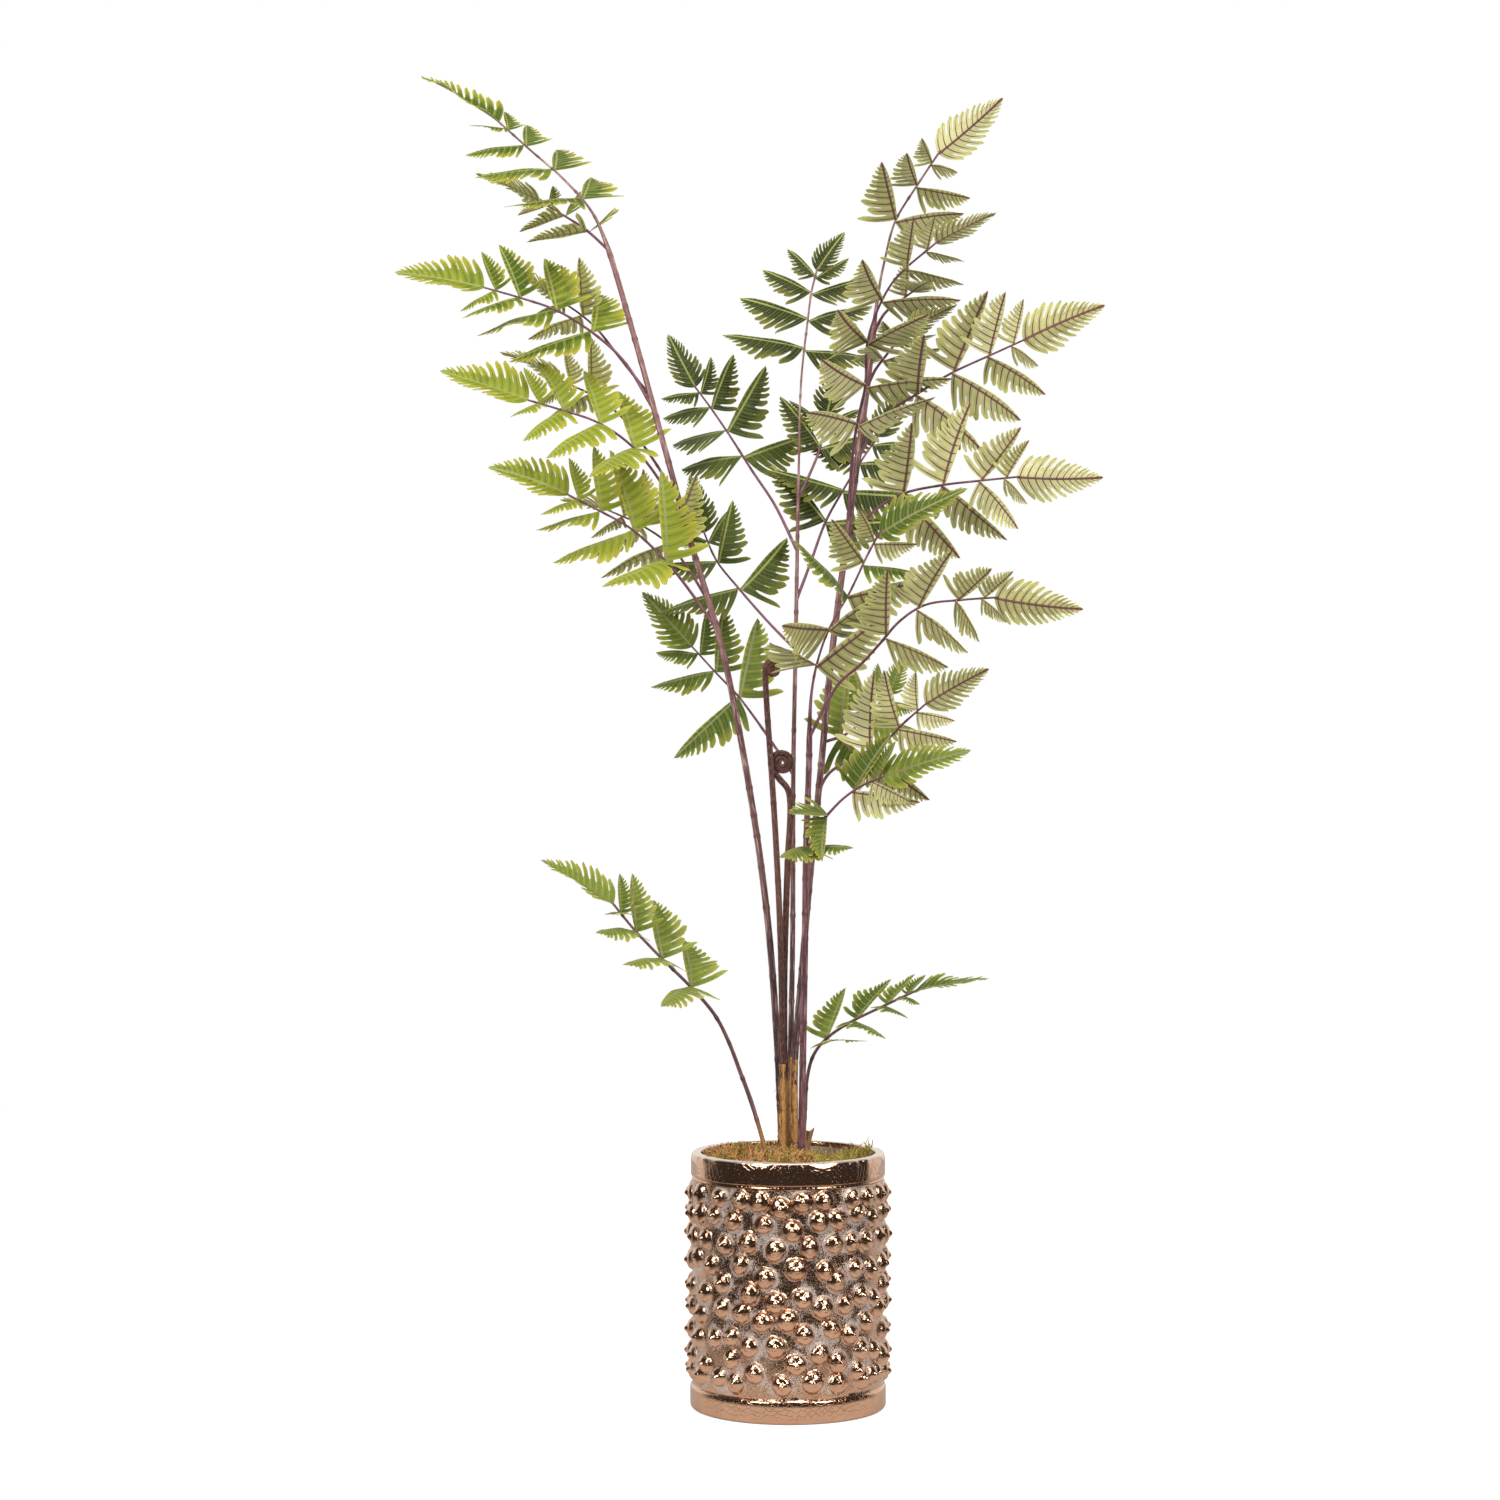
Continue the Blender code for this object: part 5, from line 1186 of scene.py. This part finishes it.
def makeFiddlehead(name, plan):
    chance = random.Random(name)
    route = stemRoute(plan)
    thick, thin = plan["radii"]
    radii = [thick + (thin - thick) * index / (len(route) - 1) for index in range(len(route))]
    turned = math.radians(plan["turned"])
    sideways = Vector((math.cos(turned), math.sin(turned), 0.0))
    centre = Vector(plan["centre"])
    for place in range(1, coilPlan["points"] + 1):
        share = place / coilPlan["points"]
        angle = math.radians(coilPlan["start"] - 360.0 * coilPlan["turns"] * share)
        reach = plan["coil"] + (coilPlan["inner"] - plan["coil"]) * share
        route.append(centre + sideways * (reach * math.cos(angle)) + Vector((0, 0, reach * math.sin(angle))))
        radii.append(thin + (coilPlan["endRadius"] - thin) * share ** coilPlan["thinning"])
    nodes = nodesAlong(routeLength(route), coilPlan["firstNode"], coilPlan["nodeGap"], chance)
    radii, rings = ringedRadii(route, radii, nodes, coilPlan["nodeHeight"])
    stem = rodAlong(route, radii, name, 4)
    markRod(stem, route, rings)
    stem.data.materials.append(rodFinishes["brownFuzz"])
    strands = []
    for _ in range(coilPlan["hairCount"]):
        index = chance.randrange(len(route) // 4, len(route) - 1)
        along = (route[index + 1] - route[index]).normalized()
        out = perpendicular(unitVector(chance), along)
        spot = route[index] + out * radii[index] * 0.9
        length = coilPlan["hairLength"] * chance.uniform(0.5, 1.2)
        strands.append(([spot, spot + (out + along * chance.uniform(0.1, 0.8)).normalized() * length],
                        coilPlan["hairRadius"]))
    parts = [stem, hairs(strands, name, rodFinishes["brownFuzz"]), wrapAround(route, name, chance)]
    made = joinAll(parts, name + "_coil")
    keepPiece(made, [name])


for name, plan in fiddleheadLayout.items():
    makeFiddlehead(name, plan)

# The stub: a short stick, cut across at a slant, with a rough side
stubPlan = {"foot": (0.021, 0.023), "top": (0.025, 0.026, 0.318), "radii": (0.0045, 0.0065), "step": 0.003,
            "slant": 0.9, "cutBelow": 0.006, "cutFrom": 0.004, "roughness": 0.0007}
footX, footY = stubPlan["foot"]
topX, topY, topZ = stubPlan["top"]
low, high = stubPlan["radii"]
stubRoute = smoothRoute([(footX, footY, footBottom), (footX, footY, footTop), (topX, topY, topZ)],
                        stubPlan["step"])
stubRadii = [low + (high - low) * max(0.0, (point.z - footTop) / (topZ - footTop)) for point in stubRoute]
stub = rodAlong(stubRoute, stubRadii, "stub_stick", 8)
markRod(stub, stubRoute, [0.0] * len(stubRoute))
for vertex in stub.data.vertices:
    rough = noise.noise(vertex.co * 500.0) * stubPlan["roughness"]
    vertex.co.x += rough
    vertex.co.y += noise.noise(vertex.co * 430.0) * stubPlan["roughness"]
    if vertex.co.z > topZ - stubPlan["cutFrom"]:
        vertex.co.z += (vertex.co.x - topX) * stubPlan["slant"] - stubPlan["cutBelow"] + rough
stub.data.materials.append(rodFinishes["cutWood"])
keepPiece(stub, ["stub"])
print("fiddleheads and stub are made")


# Pot
potPlan = {
    "height": 0.292, "rimRadius": 0.112, "rimBand": 0.026, "rimRound": 0.002, "bodyRadius": 0.1095,
    "baseRadius": 0.1125, "baseRound": 0.004, "mouthRadius": 0.100, "floor": 0.020,
    "wallLow": 0.028, "wallRows": 72, "steps": 240,
    "studPitch": 17.0, "studShift": 0.0022, "studSides": 26,
    "wave": 0.0009,                      # how far the wall is from true
    "lean": 0.0020, "dent": 0.0003,      # how far the band leans in under the lip, and its dents
}
# studs seen from the front, row by row: degrees to the right of the front, millimetres above the base
frontStuds = [
    [(-65, 249), (-45, 249), (-30, 249), (-18, 249), (-5, 242), (8, 249), (21, 249), (40, 249), (53, 249)],
    [(-64, 228), (-49, 229), (-35, 225), (-15, 223), (2, 216), (18, 227), (30, 227), (44, 233), (58, 225)],
    [(-58, 200), (-41, 197), (-25, 202), (-8, 195), (12, 197), (27, 200), (40, 200), (52, 200)],
    [(-68, 177), (-52, 173), (-30, 177), (-14, 163), (4, 174), (22, 171), (43, 170), (57, 167)],
    [(-59, 140), (-43, 154), (-24, 145), (-8, 136), (8, 141), (29, 158), (47, 140), (60, 134)],
    [(-64, 115), (-43, 126), (-29, 123), (-16, 114), (-1, 116), (20, 130), (35, 131), (52, 109)],
    [(-67, 86), (-49, 91), (-36, 95), (-24, 85), (-8, 86), (9, 100), (26, 105), (39, 97), (48, 78),
     (60, 74)],
    [(-59, 58), (-36, 70), (-21, 56), (4, 67), (18, 78), (30, 67), (45, 55), (57, 47)],
    [(-45, 48), (-33, 44), (-4, 44), (14, 47), (30, 44)],
]


def studPlaces():
    # the front ones as given, the rest of each row at an even pitch
    chance = random.Random(7)
    places = []
    for row in frontStuds:
        places += [(math.radians(angle), height / 1000) for angle, height in row]
        middle = sum(height for _, height in row) / len(row) / 1000
        first = row[-1][0] + potPlan["studPitch"]
        last = row[0][0] + 360.0 - potPlan["studPitch"]
        count = round((last - first) / potPlan["studPitch"])
        for index in range(count + 1):
            angle = math.radians(first + (last - first) * index / count)
            angle += chance.uniform(-potPlan["studShift"], potPlan["studShift"]) / potPlan["bodyRadius"]
            places.append((angle, middle + chance.uniform(-potPlan["studShift"], potPlan["studShift"])))
    return places


def turnProfile(profile, steps, nearness, name, closeFoot=False):
    # an outline of (radius, height) points turned once round the upright axis
    mesh = bpy.data.meshes.new(name)
    mesh.from_pydata([(radius, 0.0, height) for radius, height in profile],
                     [(index, index + 1) for index in range(len(profile) - 1)], [])
    turned = addObject(name, mesh)
    selectOnly([turned])
    bpy.ops.object.mode_set(mode="EDIT")
    bpy.ops.mesh.select_all(action="SELECT")
    bpy.ops.mesh.spin(steps=steps, angle=2 * math.pi, center=(0, 0, 0), axis=(0, 0, 1), dupli=False)
    bpy.ops.mesh.select_all(action="SELECT")
    bpy.ops.mesh.remove_doubles(threshold=nearness)
    if closeFoot:
        bpy.ops.mesh.select_all(action="DESELECT")
        bpy.ops.mesh.select_non_manifold()
        bpy.ops.mesh.edge_face_add()
        bpy.ops.mesh.select_all(action="SELECT")
    bpy.ops.mesh.normals_make_consistent(inside=False)
    bpy.ops.object.mode_set(mode="OBJECT")
    return turned


def roundCorner(radius, height, size, turns):
    # points about a corner's centre; 0 degrees is straight down, 90 outwards and 180 up
    return [(radius + size * math.sin(math.radians(turn)), height - size * math.cos(math.radians(turn)))
            for turn in turns]


# The body's outline, from the middle of the underside out, up, over the lip and down inside
body, base, foot = potPlan["bodyRadius"], potPlan["baseRadius"], potPlan["baseRound"]
top, rimRadius, rimRound = potPlan["height"], potPlan["rimRadius"], potPlan["rimRound"]
rimFoot = top - potPlan["rimBand"]
bandLow = rimFoot + 0.0010
mouth = potPlan["mouthRadius"]
profile = [(0.0, 0.0), (0.05, 0.0), (base - foot, 0.0)]
profile += roundCorner(base - foot, foot, foot, (22, 45, 68, 90))
profile += [(base, 0.010), (base, 0.018), (base, 0.0240), (base - 0.0006, 0.0256), (body + 0.0012, 0.0266)]
low, high = potPlan["wallLow"], rimFoot - 0.0050
profile += [(body, low + (high - low) * row / potPlan["wallRows"]) for row in range(potPlan["wallRows"] + 1)]
# a small bead under the rim band, then the band and the rounded lip
bead = [(0.0003, 0.0044), (0.0013, 0.0036), (0.0015, 0.0026), (0.0011, 0.0017), (0.0006, 0.0011),
        (0.0010, 0.0004)]
profile += [(body + out, rimFoot - down) for out, down in bead]
profile += [(rimRadius - 0.0005, rimFoot + 0.0002), (rimRadius, bandLow)]
profile += [(rimRadius, bandLow + (top - rimRound - bandLow) * row / 10) for row in range(1, 11)]
profile += roundCorner(rimRadius - rimRound, top - rimRound, rimRound, (115, 140, 165, 180))
profile += [(rimRadius - 0.004, top), ((rimRadius + mouth) / 2, top), (mouth + rimRound, top)]
profile += roundCorner(mouth + rimRound, top - rimRound, rimRound, (210, 240, 270))
profile += [(mouth, height) for height in (top - 0.006, 0.27, 0.24, 0.15, potPlan["floor"])]
profile.append((0.0, potPlan["floor"]))
pot = turnProfile(profile, potPlan["steps"], 0.00002, "pot_wall")
places = studPlaces()
points = pointsOf(pot.data)
angles = numpy.arctan2(points[:, 0], -points[:, 1])
radii = numpy.hypot(points[:, 0], points[:, 1])
closest = numpy.full(len(points), 1.0)
for angle, height in places:
    apart = numpy.abs((angles - angle + math.pi) % (2 * math.pi) - math.pi) * body
    closest = numpy.minimum(closest, numpy.hypot(apart, points[:, 2] - height))
onWall = (numpy.abs(radii - body) < 0.0001) & (points[:, 2] > 0.027) & (points[:, 2] < rimFoot)
# the hand-thrown wall isn't quite true
waves = numpy.array([noise.noise(Vector((math.sin(a) * 2.2, math.cos(a) * 2.2, p[2] * 16.0)))
                     for a, p in zip(angles, points)])
push = numpy.where(onWall, waves * potPlan["wave"], 0.0)
# the band leans in a little under the lip, more in some places than in others
onBand = (points[:, 2] > rimFoot + 0.001) & (radii > rimRadius - 0.0045)
dents = numpy.array([noise.noise(Vector((math.sin(a) * 9.0, math.cos(a) * 9.0, 3.0))) for a in angles])
rise = numpy.clip((points[:, 2] - top + 0.011) / 0.010, 0.0, 1.0)
leaning = -potPlan["lean"] * (0.6 + dents) * rise ** 2 - potPlan["dent"] * (0.5 + dents)
push = numpy.where(onBand, leaning, push)
grow = 1.0 + push / numpy.maximum(radii, 0.001)
points[:, 0] *= grow
points[:, 1] *= grow
setPoints(pot.data, points)
# recess is 1 between the studs, where the glaze pools, and lip is 1 on top of the rim, where a pale
# highlight is painted
pooling = numpy.clip(1.0 - (closest - 0.0125) / 0.012, 0.0, 1.0)
markFloat(pot.data, "recess", numpy.where(onWall, pooling, 0.0))
inner = (radii < mouth + 0.0004) & (points[:, 2] > 0.018)
markFloat(pot.data, "lip", numpy.where((points[:, 2] > top - 0.0016) & ~inner, 1.0, 0.0))
for name in ("glaze", "bare"):
    pot.data.materials.append(bpy.data.materials.new(name))
for polygon in pot.data.polygons:
    inside = polygon.center.xy.length < mouth + 0.001 and 0.018 < polygon.center.z < top - 0.005
    polygon.material_index = 1 if inside else 0
selectOnly([pot])
bpy.ops.object.shade_smooth_by_angle(angle=math.radians(40))

# One stud drawn flat: a flared foot, a dome and a nipple; then a bent copy at each place
deselectAll()
studPlan = {
    # radius and height, from the foot's edge to the tip
    "outline": [(0.0152, -0.0006), (0.0138, 0.0002), (0.0127, 0.0009), (0.0120, 0.0020), (0.0112, 0.0034),
                (0.0100, 0.0048), (0.0082, 0.0060), (0.0062, 0.0068), (0.0047, 0.0074), (0.0038, 0.0084),
                (0.0027, 0.0096), (0.0014, 0.0106), (0.0, 0.0111)],
    # no two are alike in size, roundness, lean of the tip and height
    "size": (0.93, 1.04), "oval": 0.07, "threeSided": 0.04, "tipShift": 0.0013, "tall": (0.88, 1.03),
    "lowest": 0.0262, "underRim": 0.0036,
}
studTemplate = turnProfile(studPlan["outline"], potPlan["studSides"], 0.00001, "stud", closeFoot=True)
bpy.ops.object.shade_smooth_by_angle(angle=math.radians(60))
flat = pointsOf(studTemplate.data)
studTurn = numpy.arctan2(flat[:, 1], flat[:, 0])
studReach = numpy.hypot(flat[:, 0], flat[:, 1])
chance = random.Random(23)
studs = []
for angle, height in places:
    size = chance.uniform(*studPlan["size"])
    lump = 1.0 + chance.uniform(0.0, studPlan["oval"]) * numpy.sin(2 * studTurn + chance.uniform(0, 6)) \
        + chance.uniform(0.0, studPlan["threeSided"]) * numpy.sin(3 * studTurn + chance.uniform(0, 6))
    shift = studPlan["tipShift"]
    tipShift = (chance.uniform(-shift, shift), chance.uniform(-shift, shift))
    up = numpy.clip(flat[:, 2] / 0.011, 0.0, 1.0)
    sideways = flat[:, 0] * size * lump + tipShift[0] * up
    rise = flat[:, 1] * size * lump + tipShift[1] * up
    out = body + flat[:, 2] * min(1.0, chance.uniform(*studPlan["tall"]))
    turn = angle + sideways / body
    level = numpy.clip(height + rise, studPlan["lowest"], rimFoot - studPlan["underRim"])
    mesh = studTemplate.data.copy()
    setPoints(mesh, numpy.stack([numpy.sin(turn) * out, -numpy.cos(turn) * out, level], axis=1))
    mesh.flip_normals()
    markFloat(mesh, "recess", numpy.clip((studReach - 0.0098) / 0.0030, 0.0, 1.0))
    mesh.materials.append(pot.data.materials[0])
    studs.append(addObject("stud", mesh))
bpy.data.objects.remove(studTemplate, do_unlink=True)

# Copper lustre glaze on stoneware: a thin metal film fired on gloss, mirror-like on the high
# places, with a pale crystal haze in grains of 1 mm and patches of 24 mm where it pooled between
# the studs, crackle of 5 mm, and runs 7 mm wide and 45 mm long
# lip is a pale tint on top of the rim: a painted highlight along the lip
glazePlan = {"copper": "#e2bb9d", "deep": "#c39a7d", "haze": "#b5a9a1", "lip": "#e6d6c8",
             "roughness": 0.10, "hazeRoughness": 0.60}
glaze, tree, shader = newMaterial("copperLustreGlaze")
place = addNode(tree, "ShaderNodeTexCoord").outputs["Object"]
recess = addNode(tree, "ShaderNodeAttribute", attribute_name="recess").outputs["Fac"]
lip = addNode(tree, "ShaderNodeAttribute", attribute_name="lip").outputs["Fac"]
grain = addNode(tree, "ShaderNodeTexNoise", {"Vector": place, "Scale": 900.0, "Detail": 4.0,
                                             "Roughness": 0.7})
patch = addNode(tree, "ShaderNodeTexNoise", {"Vector": place, "Scale": 42.0, "Detail": 3.0})
patches = addNode(tree, "ShaderNodeMapRange", {0: patch.outputs[0], 1: 0.42, 2: 0.60, 3: 0.16, 4: 0.48})
pooled = addNode(tree, "ShaderNodeMath", {0: recess, 1: patches.outputs[0]}, operation="MULTIPLY")
crisp = addNode(tree, "ShaderNodeMapRange", {0: grain.outputs[0], 1: 0.34, 2: 0.68, 3: 0.0, 4: 0.69})
speck = addNode(tree, "ShaderNodeMath", {0: crisp.outputs[0], 1: pooled.outputs[0]}, operation="ADD")
haze = addNode(tree, "ShaderNodeMapRange", {0: speck.outputs[0], 1: 0.62, 2: 0.74})
base = addNode(tree, "ShaderNodeMix", {0: patch.outputs[0], 6: glazePlan["deep"], 7: glazePlan["copper"]},
               data_type="RGBA")
hazed = addNode(tree, "ShaderNodeMix", {0: haze.outputs[0], 6: base.outputs[2], 7: glazePlan["haze"]},
                data_type="RGBA")
# the top of the rim painted pale: a painted highlight along the lip
lipHighlight = addNode(tree, "ShaderNodeMix", {0: lip, 6: hazed.outputs[2], 7: glazePlan["lip"]}, data_type="RGBA")
metal = addNode(tree, "ShaderNodeMapRange", {0: haze.outputs[0], 1: 0.0, 2: 1.0, 3: 1.0, 4: 0.10})
dull = addNode(tree, "ShaderNodeMapRange", {0: haze.outputs[0], 1: 0.0, 2: 1.0, 3: glazePlan["roughness"],
                                            4: glazePlan["hazeRoughness"]})
lipDull = addNode(tree, "ShaderNodeMath", {0: lip, 1: 0.25, 2: dull.outputs[0]}, operation="MULTIPLY_ADD")
crackle = addNode(tree, "ShaderNodeTexVoronoi", {"Vector": place, "Scale": 190.0},
                  feature="DISTANCE_TO_EDGE")
cracks = addNode(tree, "ShaderNodeMapRange", {0: crackle.outputs[0], 1: 0.0, 2: 0.06, 3: 0.0, 4: 0.45})
slow = addNode(tree, "ShaderNodeTexNoise", {"Vector": place, "Scale": 70.0, "Detail": 2.0})
upright = addNode(tree, "ShaderNodeMapping", {"Vector": place, "Scale": (150.0, 150.0, 22.0)})
runs = addNode(tree, "ShaderNodeTexNoise", {"Vector": upright.outputs[0], "Scale": 1.0, "Detail": 3.0})
run = addNode(tree, "ShaderNodeMath", {0: runs.outputs[0], 1: 0.9, 2: cracks.outputs[0]},
              operation="MULTIPLY_ADD")
lumpy = addNode(tree, "ShaderNodeMath", {0: slow.outputs[0], 1: 1.4, 2: run.outputs[0]},
                operation="MULTIPLY_ADD")
rough = addNode(tree, "ShaderNodeMath", {0: haze.outputs[0], 1: 0.6, 2: lumpy.outputs[0]},
                operation="MULTIPLY_ADD")
bump = addNode(tree, "ShaderNodeBump", {"Strength": 0.30, "Distance": 0.0006, "Height": rough.outputs[0]})
setInputs(tree, shader, {"Base Color": lipHighlight.outputs[2], "Metallic": metal.outputs[0],
                         "Roughness": lipDull.outputs[0], "Normal": bump.outputs[0]})

# Bare stoneware inside: a grey grit of 1.5 mm with soft stains of 26 mm, quite matt
bare, tree, shader = newMaterial("unglazedStoneware")
place = addNode(tree, "ShaderNodeTexCoord").outputs["Object"]
grit = addNode(tree, "ShaderNodeTexNoise", {"Vector": place, "Scale": 650.0, "Detail": 4.0})
stain = addNode(tree, "ShaderNodeTexNoise", {"Vector": place, "Scale": 38.0, "Detail": 3.0})
either = addNode(tree, "ShaderNodeMath", {0: grit.outputs[0], 1: stain.outputs[0]}, operation="MULTIPLY")
ramp = addNode(tree, "ShaderNodeMapRange", {0: either.outputs[0], 1: 0.12, 2: 0.36})
tone = addNode(tree, "ShaderNodeMix", {0: ramp.outputs[0], 6: "#85817a", 7: "#b4b0a9"}, data_type="RGBA")
bump = addNode(tree, "ShaderNodeBump", {"Strength": 0.5, "Distance": 0.0004, "Height": grit.outputs[0]})
setInputs(tree, shader, {"Base Color": tone.outputs[2], "Normal": bump.outputs[0], "Roughness": 0.9})

pot = joinAll([pot] + studs, "pot_glazed")
pot.data.materials[0] = glaze
pot.data.materials[1] = bare
keepPiece(pot, ["pot"])
print("pot has", triangleCount(pot), "triangles")

# Cast plaster filler: chalky, in clouds of 17 mm, with pin holes drawn coarser at 2 mm
plaster, tree, shader = newMaterial("castPlaster")
place = addNode(tree, "ShaderNodeTexCoord").outputs["Object"]
chalk = addNode(tree, "ShaderNodeTexNoise", {"Vector": place, "Scale": 60.0, "Detail": 5.0})
tone = addNode(tree, "ShaderNodeMix", {0: chalk.outputs[0], 6: "#b3ac9e", 7: "#d9d4c8"}, data_type="RGBA")
pits = addNode(tree, "ShaderNodeTexVoronoi", {"Vector": place, "Scale": 420.0})
bump = addNode(tree, "ShaderNodeBump", {"Strength": 0.4, "Distance": 0.0005, "Height": pits.outputs[0]})
setInputs(tree, shader, {"Base Color": tone.outputs[2], "Normal": bump.outputs[0], "Roughness": 0.95})
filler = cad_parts["filler"]
for slotIndex in range(max(1, len(filler.material_slots))):
    if len(filler.data.materials) <= slotIndex:
        filler.data.materials.append(plaster)
    filler.material_slots[slotIndex].material = plaster


# Moss
mossPlan = {
    "top": 0.277, "low": 0.2643, "radius": 0.0975, "bump": 0.0055, "frontRise": 0.004,
    "edgeDrop": 0.003, "roughness": 0.0032, "below": 0.0025, "sides": 72, "cuts": 9,
    "strands": 5000, "length": (0.009, 0.022), "strandRadius": (0.00050, 0.00105), "pieces": 4,
    "curl": (0.5, 1.3), "rootBelow": 0.004, "rootInset": 0.003, "fromWall": 0.0015,
    # heaps and hollows of loose moss: x, y, height, spread
    "heaps": [(-0.050, 0.020, 0.012, 0.024), (0.078, 0.020, 0.014, 0.016), (-0.005, -0.030, 0.009, 0.026),
              (-0.080, -0.020, 0.008, 0.020), (0.045, -0.060, 0.005, 0.030), (0.012, 0.010, 0.006, 0.016),
              (0.046, 0.040, -0.013, 0.024), (0.010, 0.085, -0.008, 0.030)],
}


def mossHeight(x, y):
    # soft tufts, banked up towards the viewer
    bump = math.sin(x * 210.0 + 1.3) * math.sin(y * 190.0) + 0.6 * math.sin(x * 95.0 - y * 120.0)
    bump += 0.7 * math.sin(x * 430.0 + y * 60.0) * math.sin(y * 390.0 - x * 80.0)
    bank = max(0.0, -y / mossPlan["radius"]) + 0.4 * max(0.0, x / mossPlan["radius"])
    heap = sum(rise * math.exp(-((x - heapX) ** 2 + (y - heapY) ** 2) / (2 * spread ** 2))
               for heapX, heapY, rise, spread in mossPlan["heaps"])
    return mossPlan["top"] + mossPlan["bump"] * bump * 0.6 + mossPlan["frontRise"] * (bank + 0.6) + heap


def mossFinish(name, dark, light, bright):
    # Dried and dyed moss: matt crisp threads, each tuft its own mix of green, straw and brown, in
    # patches of 13 mm with a fleck of 1.4 mm
    material, tree, shader = newMaterial(name)
    place = addNode(tree, "ShaderNodeTexCoord").outputs["Object"]
    patch = addNode(tree, "ShaderNodeTexNoise", {"Vector": place, "Scale": 75.0, "Detail": 3.0})
    fine = addNode(tree, "ShaderNodeTexNoise", {"Vector": place, "Scale": 700.0, "Detail": 2.0})
    share = addNode(tree, "ShaderNodeMapRange", {0: patch.outputs[0], 1: 0.38, 2: 0.62})
    fineShare = addNode(tree, "ShaderNodeMapRange", {0: fine.outputs[0], 1: 0.45, 2: 0.75, 4: 0.8})
    tone = addNode(tree, "ShaderNodeMix", {0: share.outputs[0], 6: dark, 7: light}, data_type="RGBA")
    toned = addNode(tree, "ShaderNodeMix", {0: fineShare.outputs[0], 6: tone.outputs[2], 7: bright},
                    data_type="RGBA")
    bump = addNode(tree, "ShaderNodeBump", {"Strength": 0.7, "Distance": 0.0008, "Height": fine.outputs[0]})
    setInputs(tree, shader, {"Base Color": toned.outputs[2], "Normal": bump.outputs[0], "Roughness": 0.95,
                             "Specular IOR Level": 0.2})
    return material


# the mound under the strands: a very dark brown, partly the brown of the matted moss and partly painted
# shade in the gaps between the tufts
mossGapShade = mossFinish("driedMossGapShade", "#281b0c", "#3d2f13", "#5c4622")
mossGreen = mossFinish("driedMossGreen", "#746625", "#b5a541", "#e6d684")
mossTan = mossFinish("driedMossTan", "#92582a", "#d89a5c", "#f5d09a")

deselectAll()
bpy.ops.mesh.primitive_circle_add(vertices=mossPlan["sides"], radius=mossPlan["radius"], fill_type="TRIFAN",
                                  location=(0, 0, 0))
moss = bpy.context.object
bpy.ops.object.mode_set(mode="EDIT")
bpy.ops.mesh.select_all(action="SELECT")
bpy.ops.mesh.subdivide(number_cuts=mossPlan["cuts"])
bpy.ops.mesh.remove_doubles(threshold=0.0003)
bpy.ops.object.mode_set(mode="OBJECT")
for vertex in moss.data.vertices:
    x, y = vertex.co.x, vertex.co.y
    share = math.hypot(x, y) / mossPlan["radius"]
    rough = noise.fractal(Vector((x, y, 0.0)) * 160.0, 1.0, 2.0, 4) * mossPlan["roughness"]
    edge = mossPlan["edgeDrop"] * max(0.0, share - 0.8) * 5
    vertex.co.z = mossHeight(x, y) + rough - mossPlan["below"] - edge
bpy.ops.object.mode_set(mode="EDIT")
bpy.ops.mesh.select_all(action="SELECT")
bpy.ops.mesh.extrude_region_move(TRANSFORM_OT_translate={"value": (0, 0, -0.002)})
bpy.ops.object.mode_set(mode="OBJECT")
for vertex in moss.data.vertices:
    if vertex.select:
        vertex.co.z = mossPlan["low"]
bpy.ops.object.mode_set(mode="EDIT")
bpy.ops.mesh.select_all(action="SELECT")
bpy.ops.mesh.normals_make_consistent(inside=False)
bpy.ops.object.mode_set(mode="OBJECT")
bpy.ops.object.shade_smooth()
# the mound takes the dark finish, painted shade between the tufts
moss.data.materials.append(mossGapShade)
chance = random.Random(31)
green, tan = [], []
for _ in range(mossPlan["strands"]):
    angle = chance.uniform(0, 2 * math.pi)
    reach = (mossPlan["radius"] - mossPlan["rootInset"]) * math.sqrt(chance.random())
    x, y = reach * math.cos(angle), reach * math.sin(angle)
    spot = Vector((x, y, mossHeight(x, y) - mossPlan["rootBelow"]))
    way = (Vector((0, 0, 0.45)) + unitVector(chance)).normalized()
    length = chance.uniform(*mossPlan["length"])
    curl = perpendicular(unitVector(chance), way) * chance.uniform(*mossPlan["curl"])
    line = [spot]
    for piece in range(mossPlan["pieces"]):
        way = (way + curl * 0.55 + Vector((0, 0, -0.10))).normalized()
        following = line[-1] + way * length / mossPlan["pieces"]
        out = math.hypot(following.x, following.y)
        within = mouth - mossPlan["fromWall"]
        if out > within:
            following.x *= within / out
            following.y *= within / out
        line.append(following)
    # green tufts lie mostly on the right and tan ones on the left
    tuft = noise.noise(Vector((x, y, 5.0)) * 45.0) + chance.uniform(-0.25, 0.25)
    tuft += 0.16 if x > 0.03 else -0.16
    (green if tuft > 0.0 else tan).append((line, chance.uniform(*mossPlan["strandRadius"])))
moss = joinAll([moss, hairs(green, "mossGreen", mossGreen), hairs(tan, "mossTan", mossTan)], "moss_tufts")
keepPiece(moss, ["moss"])
print("moss has", triangleCount(moss), "triangles")

deselectAll()
bpy.context.view_layer.update()
